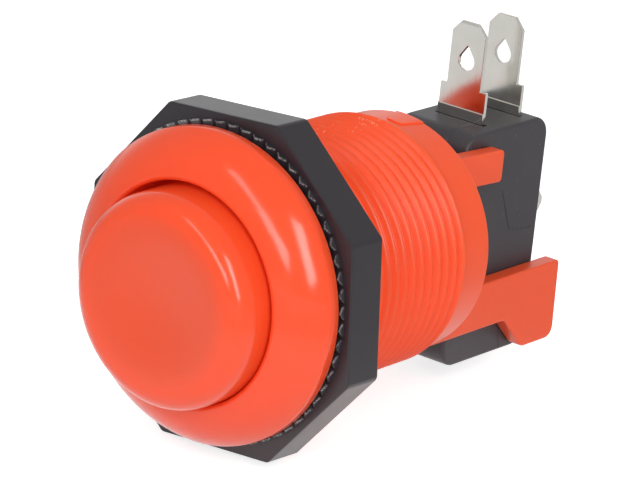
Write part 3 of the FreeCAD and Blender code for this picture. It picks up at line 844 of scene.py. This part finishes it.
# %% Stamp the upright tabs
REAR_TAB_SHIFT = (0.2, -0.1)
STRIP_TOP = 1.4
STRIP_RISE = 0.18
STRIP_SLOPE = 0.12
STRIP_SINK = 0.4
STRIP_EDGE = 0.05

right_half = [
    (TAB_LEG_HALF, SWITCH_TOP - TAB_LEG),
    (TAB_LEG_HALF, SWITCH_TOP - TAB_LEDGE),
    (TAB_BASE_HALF, SWITCH_TOP - TAB_LEDGE),
    (TAB_BASE_HALF, SWITCH_TOP + TAB_SHOULDER),
    (TAB_HALF, SWITCH_TOP + TAB_SHOULDER),
    (TAB_HALF, SWITCH_TOP + TAB_HEIGHT - TAB_TIP_HEIGHT),
    (TAB_TIP_HALF, SWITCH_TOP + TAB_HEIGHT),
]
left_half = [(-across, along) for across, along in right_half]
upright = left_half[:1] + right_half + left_half[:0:-1]
tabs = []
for name, node, y, aside, up in (
    ("front_tab", "nc_terminal", TAB_YS[0], 0, 0),
    ("rear_tab", "no_terminal", TAB_YS[1], *REAR_TAB_SHIFT),
):
    front = y - TAB_THICKNESS / 2
    tab = stamp(
        name,
        upright,
        lambda across, along: (across + aside, front, along + up),
        (0, TAB_THICKNESS, 0),
        SWITCH_TOP + TAB_HEIGHT,
        Vector((0, 0, 1)),
    )
    strip_left = aside - TAB_BASE_HALF
    strip_top = SWITCH_TOP + STRIP_TOP + up
    strip = plate(
        "strip",
        [
            (strip_left, front + TAB_THICKNESS / 2, strip_top),
            (strip_left, front - STRIP_RISE, strip_top - STRIP_SLOPE),
            (strip_left, front, SWITCH_TOP - STRIP_SINK),
            (strip_left, front + TAB_THICKNESS / 2, SWITCH_TOP - STRIP_SINK),
        ],
        (2 * TAB_BASE_HALF, 0, 0),
    )
    soften(strip, STRIP_EDGE, 2)
    combine(tab, strip, "UNION")
    seat(tab, node, "housing")
    tabs.append(tab)

# %% [markdown]
# The common terminal lies in the plane across the other two. Its tab leaves the rear face, and inside the
# housing it has a post for the contact arm and a finger that the snap spring leans on. From the front only
# the tip of the tab shows past the housing, and it is more pointed than the other two.

# %% Stamp the common terminal
com_low, com_high = (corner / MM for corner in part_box("com_terminal"))
COM_TRIM = 0.15
COM_TIP = com_high.y - COM_TRIM
COM_TIP_HALF = 0.35
COM_TIP_HEIGHT = 1.9
COM_SHOULDER = SWITCH_REAR + 2.6
POST_FRONT = com_low.y
POST_PLAY = 0.04
ROOM_REAR = SWITCH_REAR - SWITCH_WALL - POST_PLAY
POST_TOP = -8.5
POST_LOW = com_low.z
FINGER_TOP = POST_TOP + 2.8
ARM_SWING = 6.755
CONTACT_TILT = 1.3 * math.sin(math.radians(ARM_SWING))
LEAF_ROOM = 0.4
FINGER_FRONT = POST_FRONT + LEAF_ROOM + CONTACT_TILT
FINGER_REAR = FINGER_FRONT + 1.1
com_outline = [
    (COM_TAB_Z + COM_TIP_HALF, COM_TIP),
    (COM_TAB_Z + TAB_HALF, COM_TIP - COM_TIP_HEIGHT),
    (COM_TAB_Z + TAB_HALF, COM_SHOULDER),
    (COM_TAB_Z + TAB_BASE_HALF, COM_SHOULDER),
    (COM_TAB_Z + TAB_BASE_HALF, ROOM_REAR - SWITCH_WALL),
    (POST_TOP, ROOM_REAR - SWITCH_WALL),
    (POST_TOP, FINGER_REAR),
    (FINGER_TOP, FINGER_REAR),
    (FINGER_TOP, FINGER_FRONT),
    (POST_TOP, FINGER_FRONT),
    (POST_TOP, POST_FRONT),
    (POST_LOW, POST_FRONT),
    (POST_LOW, ROOM_REAR),
    (COM_TAB_Z - TAB_BASE_HALF, ROOM_REAR),
    (COM_TAB_Z - TAB_BASE_HALF, COM_SHOULDER),
    (COM_TAB_Z - TAB_HALF, COM_SHOULDER),
    (COM_TAB_Z - TAB_HALF, COM_TIP - COM_TIP_HEIGHT),
    (COM_TAB_Z - COM_TIP_HALF, COM_TIP),
]
common = stamp(
    "common_tab",
    [(across - COM_TAB_Z, along) for across, along in com_outline],
    lambda across, along: (-TAB_THICKNESS / 2, along, COM_TAB_Z + across),
    (TAB_THICKNESS, 0, 0),
    COM_TIP,
    Vector((0, 1, 0)),
)
seat(common, "com_terminal", "housing")
tabs.append(common)

# %% [markdown]
# ## The pin
# The switch's own pin passes the button's push on to the contact arm. It is turned, with a flange that
# keeps it from falling out through its hole.

# %% Turn the pin
pin_low, pin_high = (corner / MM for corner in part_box("switch_pin"))
PIN_RADIUS = 1.5
PIN_NOSE = 0.4
PIN_STEPS = 48
FLANGE_PLAY = 0.05
FLANGE_THICKNESS = 0.7
FLANGE_FRONT = SWITCH_FRONT + SWITCH_WALL + FLANGE_PLAY
FLANGE_REAR = FLANGE_FRONT + FLANGE_THICKNESS

pin = turned(
    "actuating_pin",
    [
        (0, pin_low.y),
        (PIN_RADIUS, pin_low.y),
        (PIN_RADIUS, FLANGE_FRONT),
        (pin_high.x, FLANGE_FRONT),
        (pin_high.x, FLANGE_REAR),
        (PIN_RADIUS, FLANGE_REAR),
        (PIN_RADIUS, pin_high.y - PIN_RADIUS),
        (PIN_NOSE, pin_high.y),
        (0, pin_high.y),
    ],
    rounds=[(PIN_RADIUS, pin_low.y, PIN_NOSE, 4)],
    steps=PIN_STEPS,
)
seat(pin, "switch_pin", "switch_pin")

# %% [markdown]
# ## The two springs
# A coil returns the button, and a bowed leaf makes the contact arm snap over. Both change their shape when
# the button moves, so they can't keep their stiff CAD shapes. The coil is a small circle, wound as the thread
# was, with both ends closed.

# %% Wind the coil
coil_low, coil_high = (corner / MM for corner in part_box("plunger_spring"))
COIL_WIRE = 0.35
COIL_SIDES = 10
COIL_TURNS = 5
COIL_STEPS = 36
COIL_PLAY = 0.15
STROKE = next(joint["range_m"][1] for joint in frame["joints"] if joint["name"] == "plunger_press") / MM

coil_front = coil_low.y + COIL_PLAY
coil_length = coil_high.y - coil_front
close_edit()
bpy.ops.mesh.primitive_circle_add(
    vertices=COIL_SIDES,
    radius=COIL_WIRE * MM,
    location=Vector((coil_high.x - COIL_WIRE, coil_front + COIL_WIRE, 0)) * MM,
)
bpy.ops.object.transform_apply()
coil = bpy.context.object
coil.name = "return_spring"
wind(coil, (coil_length - 2 * COIL_WIRE) / COIL_TURNS, COIL_TURNS, COIL_STEPS)
pick("EDGE", lambda edge: edge.is_boundary)
bpy.ops.mesh.fill_holes(sides=0)
seat(coil, "plunger_spring", "housing", flats=False)
1 - STROKE / coil_length
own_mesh(coil)

# %% [markdown]
# The leaf is a thin plate with a bowed outline.

# %% Bow the leaf
leaf_low, leaf_high = (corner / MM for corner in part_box("snap_spring"))
LEAF_THICKNESS = 0.2
LEAF_FOOT = 0.63
LEAF_BOW = 2.0
LEAF_STEPS = 16

bow = []
for step in range(LEAF_STEPS + 1):
    share = step / LEAF_STEPS
    back = LEAF_FOOT * (1 - share) * (1 - 2 * share) + 4 * LEAF_BOW * share * (1 - share)
    bow.append((leaf_low.y + back, leaf_low.z + (leaf_high.z - leaf_low.z) * share))
behind = [(y + LEAF_THICKNESS, z) for y, z in reversed(bow)]
leaf = plate(
    "snap_leaf",
    [(leaf_low.x, y, z) for y, z in bow + behind],
    (leaf_high.x - leaf_low.x, 0, 0),
)
seat(leaf, "snap_spring", None)
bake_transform(leaf)

# %% [markdown]
# ## Finishes
# A finish is a small network of nodes, and most of it is arithmetic. Wrapping a socket in a class with the
# usual operators lets that arithmetic read like arithmetic: each sum or product adds one Math node.
# The finish itself keeps the shader and has one method that adds any other node.

# %% A class for a finish


class Dial:
    """A number on its way through a finish; arithmetic with it adds Math nodes."""

    def __init__(self, finish, socket):
        self.finish = finish
        self.socket = socket

    def math(self, operation, first, second):
        return self.finish.node("ShaderNodeMath", {"operation": operation}, {0: first, 1: second})

    def __add__(self, other):
        return self.math("ADD", self, other)

    def __sub__(self, other):
        return self.math("SUBTRACT", self, other)

    def __rsub__(self, other):
        return self.math("SUBTRACT", other, self)

    def __mul__(self, other):
        return self.math("MULTIPLY", self, other)

    def __pow__(self, other):
        return self.math("POWER", self, other)

    __radd__ = __add__
    __rmul__ = __mul__


class Finish:
    """A material with one shader, whose places are in mm of the object's own space."""

    def __init__(self, name):
        self.material = bpy.data.materials.new(name)
        self.material.use_nodes = True
        self.tree = self.material.node_tree
        self.tree.nodes.clear()
        self.shader = self.tree.nodes.new("ShaderNodeBsdfPrincipled")
        output = self.tree.nodes.new("ShaderNodeOutputMaterial")
        self.tree.links.new(self.shader.outputs[0], output.inputs[0])
        where = self.node("ShaderNodeTexCoord", out="Object")
        self.place = self.node("ShaderNodeVectorMath", {"operation": "SCALE"}, {0: where, "Scale": 1 / MM})

    def node(self, kind, settings=None, inputs=None, out=0):
        """Adds a node: its settings first, then its sockets, given as values or links."""
        made = self.tree.nodes.new(kind)
        for key, value in (settings or {}).items():
            setattr(made, key, value)
        for key, value in (inputs or {}).items():
            self.plug(made.inputs[key], value)
        return Dial(self, made.outputs[out])

    def plug(self, socket, value):
        """Links a dial to a socket, or sets the socket to a plain value."""
        if isinstance(value, Dial):
            self.tree.links.new(value.socket, socket)
        else:
            socket.default_value = value

    def set(self, sockets):
        """Sets the shader's own sockets."""
        for key, value in sockets.items():
            self.plug(self.shader.inputs[key], value)

    def axis(self, name):
        """One coordinate of the place."""
        return self.node("ShaderNodeSeparateXYZ", inputs={0: self.place}, out=name)

    def noise(self, scale, detail=2.0, stretch=(1, 1, 1)):
        """Cloudy noise from 0 to 1; scale is in features per mm, stretch per axis."""
        where = self.node("ShaderNodeVectorMath", {"operation": "MULTIPLY"}, {0: self.place, 1: stretch})
        return self.node("ShaderNodeTexNoise", inputs={"Vector": where, "Scale": scale, "Detail": detail})

    def rise(self, value, low, high):
        """A soft step from 0 below low to 1 above high."""
        inputs = {"Value": value, "From Min": low, "From Max": high}
        return self.node("ShaderNodeMapRange", {"interpolation_type": "SMOOTHSTEP"}, inputs)

    def between(self, value, start, end):
        """A soft window: rises over one pair of values and falls again over another."""
        return self.rise(value, *start) * (1 - self.rise(value, *end))

    def blend(self, share, first, second):
        """A colour between two others."""
        return self.node("ShaderNodeMix", {"data_type": "RGBA"}, {0: share, 6: first, 7: second}, out=2)

    def bump(self, height, depth):
        """Small relief: a height from 0 to 1 worth so many mm."""
        inputs = {"Height": height, "Distance": depth * MM, "Strength": 1.0}
        return self.node("ShaderNodeBump", inputs=inputs)

    def put_on(self, *pieces):
        """Gives pieces this finish."""
        for piece in pieces:
            piece.data.materials.clear()
            piece.data.materials.append(self.material)
        print(self.material.name, "on", [piece.name for piece in pieces])


BLACK = (0, 0, 0, 1)
WHITE = (1, 1, 1, 1)
PLASTIC_IOR = 1.5
print("one shader, one method for nodes")

# %% [markdown]
# The orange plastic comes glossy out of a polished mould, but not all over. The bezel and the button's rim
# are polished; the button's face is satin and a little duller, the barrel satin and a little brighter. The
# face's colour is also painted darker: painted shade that stands in for the dark things its satin dish
# reflects. The masks are made from the place: distance from the axis for the face, and y for the barrel.
# Light enters the plastic and comes through the bezel's wall, so the narrow gap round the button is a deep
# red and not black: subsurface does part of that, and a little light of its own the rest. The thread's crests
# have a few pale scuffs along the very top.

# %% Orange plastic
POLISHED = ((0.87, 0.078, 0.02, 1), (0.9, 0.085, 0.023, 1))
# The next tone is painted shade: the button's face is coloured darker to stand in for the dark things it
# reflects.
FACE_PAINTED_SHADE = (0.72, 0.078, 0.024, 1)
SATIN_BARREL = (0.98, 0.1, 0.022, 1)
SCUFFED = (1.0, 0.45, 0.28, 1)
GAP_GLOW = (0.03, 0.001, 0.0002, 1)
FACE_RADII = (7.4, 10.4)
FACE_YS = (-7.6, -7.2)
BARREL_YS = (-0.05, 0.05)
GAP_RADII = ((11.2, 11.5), (12.25, 12.35))
GAP_YS = ((-5.4, -4.4), (10.0, 20.0))
SCUFF_RADII = (14.1, 14.3)
SCUFF_YS = ((14.5, 16.0), (25.0, 26.5))
SCUFF_XS = ((-1.6, -0.4), (1.4, 2.8))
SCUFF_ZS = (10.0, 12.0)
SCUFF_STRETCH = (1.6, 0.7, 0.3)

orange = Finish("orange_plastic")
x = orange.axis("X")
y = orange.axis("Y")
z = orange.axis("Z")
radius = (x * x + z * z) ** 0.5
face = (1 - orange.rise(radius, *FACE_RADII)) * (1 - orange.rise(y, *FACE_YS))
barrel = orange.rise(y, *BARREL_YS)
cloud = orange.noise(0.12, 3.0)
grain = orange.noise(3.2, 3.0)
tone = orange.blend(cloud, *POLISHED)
# Painted shade: the face is blended towards a darker tone, in place of a dark reflection.
tone = orange.blend(face * 0.6, tone, FACE_PAINTED_SHADE)
tone = orange.blend(barrel * 0.9, tone, SATIN_BARREL)
crest = orange.rise(radius, *SCUFF_RADII) * orange.between(y, *SCUFF_YS)
top = orange.rise(z, *SCUFF_ZS) * orange.between(x, *SCUFF_XS)
scuff = orange.rise(orange.noise(2.4, 2.0, SCUFF_STRETCH), 0.58, 0.62) * crest * top
tone = orange.blend(scuff * 0.5, tone, SCUFFED)
gap = orange.between(radius, *GAP_RADII) * orange.between(y, *GAP_YS)
orange.set(
    {
        "Base Color": tone,
        "Roughness": 0.13 + face * 0.08 + barrel * 0.17 + grain * 0.06 + scuff * 0.2,
        "Normal": orange.bump(grain * (0.15 + face * 0.4 + barrel * 0.3), 0.008),
        "IOR": PLASTIC_IOR,
        "Specular IOR Level": 0.4,
        "Subsurface Weight": 0.4,
        "Subsurface Radius": (1.0, 0.25, 0.1),
        "Subsurface Scale": 1.6 * MM,
        "Emission Color": orange.blend(gap, BLACK, GAP_GLOW),
        "Emission Strength": 1.0,
    }
)
orange.put_on(plunger, body)

# %% [markdown]
# The nut's nylon is a plain black with a satin skin. It is not one flat black: the skin is a little greyer
# where the mould was rougher, and fine grain breaks up what it reflects. The outer ends of the teeth get a
# painted highlight: a pale colour that stands in for the light their edges catch. To find them in the
# shader, the nut's lean is undone first with a few products.

# %% Black nylon
NYLON_SKIN = ((0.017, 0.014, 0.018, 1), (0.023, 0.019, 0.024, 1))
# The next colour is a painted highlight: the teeth's outer ends are made pale to stand in for the light their
# edges catch.
TOOTH_PAINTED_HIGHLIGHT = (0.5, 0.47, 0.45, 1)
TOOTH_HIGHLIGHT_RADII = ((TOOTH_OUTER - 0.3, TOOTH_OUTER - 0.2), (TOOTH_OUTER - 0.07, TOOTH_OUTER))
TOOTH_HIGHLIGHT_YS = (NUT_FRONT - 0.12, NUT_FRONT - 0.04)

nylon = Finish("black_nylon")
patch = nylon.noise(0.25, 4.0)
grain = nylon.noise(5.0, 3.0)
lean_sine = math.sin(math.radians(NUT_LEAN))
along = nylon.axis("Y") - (NUT_MIDDLE + NUT_BACK)
x = nylon.axis("X") + along * lean_sine
y = along - nylon.axis("X") * lean_sine + NUT_MIDDLE
radius = (x * x + nylon.axis("Z") ** 2) ** 0.5
ends = nylon.between(radius, *TOOTH_HIGHLIGHT_RADII) * (1 - nylon.rise(y, *TOOTH_HIGHLIGHT_YS))
# Painted highlight on the teeth's outer ends, broken up by the grain.
tooth_highlight_mask = ends * nylon.rise(grain, 0.35, 0.6)
skin = nylon.blend(patch, *NYLON_SKIN)
nylon.set(
    {
        "Base Color": nylon.blend(tooth_highlight_mask * 0.5, skin, TOOTH_PAINTED_HIGHLIGHT),
        "Roughness": 0.27 + patch * 0.08 + grain * 0.06,
        "Normal": nylon.bump(grain, 0.012),
        "IOR": PLASTIC_IOR,
    }
)
nylon.put_on(nut)

# %% [markdown]
# The switch housing is filled plastic with a fine matt skin, so it shows no mirror-like highlight at all.
# Hair scratches and dust are what give it scale: thin stretched noise for the scratches, dots for the dust.

# %% Matt black housing
HOUSING_SKIN = ((0.038, 0.034, 0.04, 1), (0.048, 0.043, 0.05, 1))
HOUSING_DUST = (0.4, 0.39, 0.39, 1)
HAIR_STRETCH = (0.25, 6.0, 6.0)

housing = Finish("black_plastic")
grain = housing.noise(7.0, 4.0)
patch = housing.noise(0.3, 3.0)
hair = housing.rise(housing.noise(1.6, 2.0, HAIR_STRETCH), 0.69, 0.74)
speck = housing.rise(housing.noise(2.4, 1.0), 0.74, 0.78)
base = housing.blend(patch, *HOUSING_SKIN)
housing.set(
    {
        "Base Color": housing.blend(hair * 0.25 + speck * 0.12, base, HOUSING_DUST),
        "Roughness": 0.4 + grain * 0.12,
        "Normal": housing.bump(grain, 0.02),
        "IOR": PLASTIC_IOR,
    }
)
housing.put_on(*halves)

# %% [markdown]
# The tabs are brass sheet with a bright tin skin: a warm silver, nearly a mirror, with fine rolling lines
# along the strip and a few dull smudges. Metal takes its look from what it reflects, so the relief matters
# more than the colour.

# %% Tinned sheet
TIN_TONES = ((0.76, 0.74, 0.68, 1), (0.97, 0.95, 0.9, 1))
ROLLED_STRETCH = (1, 1, 0.06)

tin = Finish("tinned_brass")
smudge = tin.noise(0.5, 4.0)
rolled = tin.noise(6.0, 2.0, ROLLED_STRETCH)
tin.set(
    {
        "Base Color": tin.blend(smudge * 0.7 + rolled * 0.3, *TIN_TONES),
        "Metallic": 1.0,
        "Roughness": 0.08 + smudge * 0.08 + rolled * 0.05,
        "Normal": tin.bump(rolled, 0.004),
    }
)
tin.put_on(*tabs)

# %% [markdown]
# The stiff pieces inside keep their CAD shapes, because almost nothing shows of them, but each has its own
# metal: bright silver rivets, bronze strip for the arm and the leaf, drawn steel for the coil.
# One recipe with a different colour and roughness covers them.

# %% Metals inside
DRAWN_STRETCH = (1, 0.2, 0.2)


def metal(name, dark, light, roughness, pieces):
    """Bare metal with uneven tone and a fine drawn grain, put on pieces."""
    finish = Finish(name)
    tone = finish.noise(0.9, 4.0)
    drawn = finish.noise(8.0, 2.0, DRAWN_STRETCH)
    finish.set(
        {
            "Base Color": finish.blend(tone, dark, light),
            "Metallic": 1.0,
            "Roughness": roughness + drawn * 0.12,
            "Normal": finish.bump(drawn, 0.004),
        }
    )
    finish.put_on(*pieces)


rivets = [frame["nodes"][node] for node in ("nc_contact", "no_contact", "moving_contact")]
blade = frame["nodes"]["moving_blade"]
metal("contact_silver", (0.78, 0.77, 0.74, 1), (0.88, 0.87, 0.84, 1), 0.15, rivets)
metal("blade_bronze", (0.6, 0.36, 0.15, 1), (0.76, 0.5, 0.25, 1), 0.2, [blade, leaf])
metal("spring_steel", (0.5, 0.5, 0.5, 1), (0.66, 0.66, 0.65, 1), 0.22, [coil])

# %% [markdown]
# The pin is a dark red plastic, a little uneven in tone. Only its front end shows, between the arms.

# %% Dark red pin
PIN_TONES = ((0.42, 0.06, 0.035, 1), (0.52, 0.085, 0.05, 1))

dark_red = Finish("pin_plastic")
cloud = dark_red.noise(0.8, 3.0)
dark_red.set(
    {
        "Base Color": dark_red.blend(cloud, *PIN_TONES),
        "Roughness": 0.32 + cloud * 0.1,
    }
)
dark_red.put_on(pin)

# %% [markdown]
# ## Camera and light
# The camera stands where the photographer stood: to the front right, a little above, far away with a long
# lens, and rolled a few degrees. Its place came from fitting the switch's and the nut's edges.

# %% Camera
CAMERA_BACK = Vector((0.56754, -0.76106, 0.31414))
CAMERA_UP = Vector((-0.26992, 0.18848, 0.94426))
CAMERA_AIM = Vector((8.016, 7.82, 5.796))
CAMERA_DISTANCE = 423.14
CAMERA_LENS = 223.8
SENSOR_WIDTH = 36

camera_data = bpy.data.cameras.new("Camera")
camera_data.lens = CAMERA_LENS
camera_data.sensor_width = SENSOR_WIDTH
camera = bpy.data.objects.new("Camera", camera_data)
bpy.context.scene.collection.objects.link(camera)
across = CAMERA_UP.cross(CAMERA_BACK)
turn = Matrix((across, CAMERA_UP, CAMERA_BACK)).transposed().to_4x4()
camera.matrix_world = Matrix.Translation((CAMERA_AIM + CAMERA_DISTANCE * CAMERA_BACK) * MM) @ turn
bpy.context.scene.camera = camera
print("camera at", [round(v / MM, 1) for v in camera.matrix_world.translation])

# %% [markdown]
# Two bent rows of soft boxes make the streaks on the glossy bezel: one comes down in front of the button,
# one stands to the right of the camera. Their directions come from where the streaks sit on bezel and rim.

# %% Soft boxes
LIGHT_DISTANCE = 600


def direction(azimuth, elevation):
    """Unit vector towards a light: azimuth 0 is straight in front, 90 to the right."""
    a = math.radians(azimuth)
    e = math.radians(elevation)
    return Vector((math.sin(a) * math.cos(e), -math.cos(a) * math.cos(e), math.sin(e)))


def soft_box(name, first, second, width, strength):
    """An area light from one direction to another, facing the object, that looks as bright as strength."""
    ends = [direction(*end) * LIGHT_DISTANCE * MM for end in (first, second)]
    centre = (ends[0] + ends[1]) / 2
    data = bpy.data.lights.new(name, "AREA")
    data.shape = "RECTANGLE"
    data.size = width * MM
    data.size_y = (ends[1] - ends[0]).length
    data.energy = strength * math.pi * data.size * data.size_y
    box = bpy.data.objects.new(name, data)
    bpy.context.scene.collection.objects.link(box)
    towards = centre.normalized()
    side = (ends[1] - ends[0]).cross(towards).normalized()
    turn = Matrix((side, towards.cross(side), towards)).transposed().to_4x4()
    box.matrix_world = Matrix.Translation(centre) @ turn
    print(name, "watts", round(data.energy, 2))


soft_box("front_box_1", (-24, 47), (4, 30), 60, 5.5)
soft_box("front_box_2", (4, 30), (16, 17.5), 110, 6.5)
soft_box("front_box_3", (16, 17.5), (26, 13.5), 130, 7.5)
soft_box("right_box_1", (55, 45), (54, 25), 140, 9.0)
soft_box("right_box_2", (54, 25), (60, 9), 140, 9.0)

# %% [markdown]
# The room around is white, but not evenly lit: only the backdrop straight behind the button is bright, which
# draws thin pale lines along glossy edges. A dot product of the looking direction with the camera's view
# gives that fall. What the camera itself sees of the room is plain white.

# %% Room
ROOM_FRONT = 0.52
ROOM_BACK = 1.2
ROOM_FALL = (0.45, 0.95)

world = bpy.data.worlds.new("Room")
bpy.context.scene.world = world
world.use_nodes = True
nodes = world.node_tree.nodes
links = world.node_tree.links
where = nodes.new("ShaderNodeTexCoord")
depth = nodes.new("ShaderNodeVectorMath")
depth.operation = "DOT_PRODUCT"
depth.inputs[1].default_value = -CAMERA_BACK
links.new(where.outputs["Generated"], depth.inputs[0])
room = nodes.new("ShaderNodeMapRange")
room.interpolation_type = "SMOOTHSTEP"
room.inputs["From Min"].default_value = ROOM_FALL[0]
room.inputs["From Max"].default_value = ROOM_FALL[1]
room.inputs["To Min"].default_value = ROOM_FRONT
room.inputs["To Max"].default_value = ROOM_BACK
links.new(depth.outputs["Value"], room.inputs["Value"])
path = nodes.new("ShaderNodeLightPath")
level = nodes.new("ShaderNodeMath")
level.operation = "MAXIMUM"
links.new(path.outputs["Is Camera Ray"], level.inputs[0])
links.new(room.outputs["Result"], level.inputs[1])
background = nodes["Background"]
background.inputs["Color"].default_value = WHITE
links.new(level.outputs[0], background.inputs["Strength"])
bpy.context.scene.view_settings.view_transform = "Standard"
print("room from", ROOM_FRONT, "to", ROOM_BACK)

# %% [markdown]
# The button lies on a pale floor that touches its lowest point. The floor is nearly white by itself, and some
# light of its own lifts it to the white of the picture for the camera. In reflections it glows only close
# to the object, where the white sheet is lit from all sides. The shadow still falls on it, but faintly.

# %% Floor
FLOOR_SIZE = 6000
FLOOR_TONES = ((0.76, 0.76, 0.76, 1), (0.8, 0.8, 0.8, 1))
FLOOR_LIGHT = 0.7
GLOW_REACH = (40, 75)

bpy.ops.mesh.primitive_plane_add(size=FLOOR_SIZE * MM, location=(0, 0, cad_low.z))
floor = bpy.context.object
floor.name = "floor"
pale = Finish("pale_floor")
paper = pale.noise(0.002, 2.0)
seen = pale.node("ShaderNodeLightPath", out="Is Camera Ray")
mirrored = pale.node("ShaderNodeLightPath", out="Is Glossy Ray")
across = pale.axis("X")
along = pale.axis("Y")
glow = 1 - pale.rise((across * across + along * along) ** 0.5, *GLOW_REACH)
shown = seen + mirrored * glow
pale.set(
    {
        "Base Color": pale.blend(paper, *FLOOR_TONES),
        "Roughness": 0.9,
        "Specular IOR Level": 0.0,
        "Emission Color": pale.blend(shown, BLACK, WHITE),
        "Emission Strength": FLOOR_LIGHT,
    }
)
pale.put_on(floor)
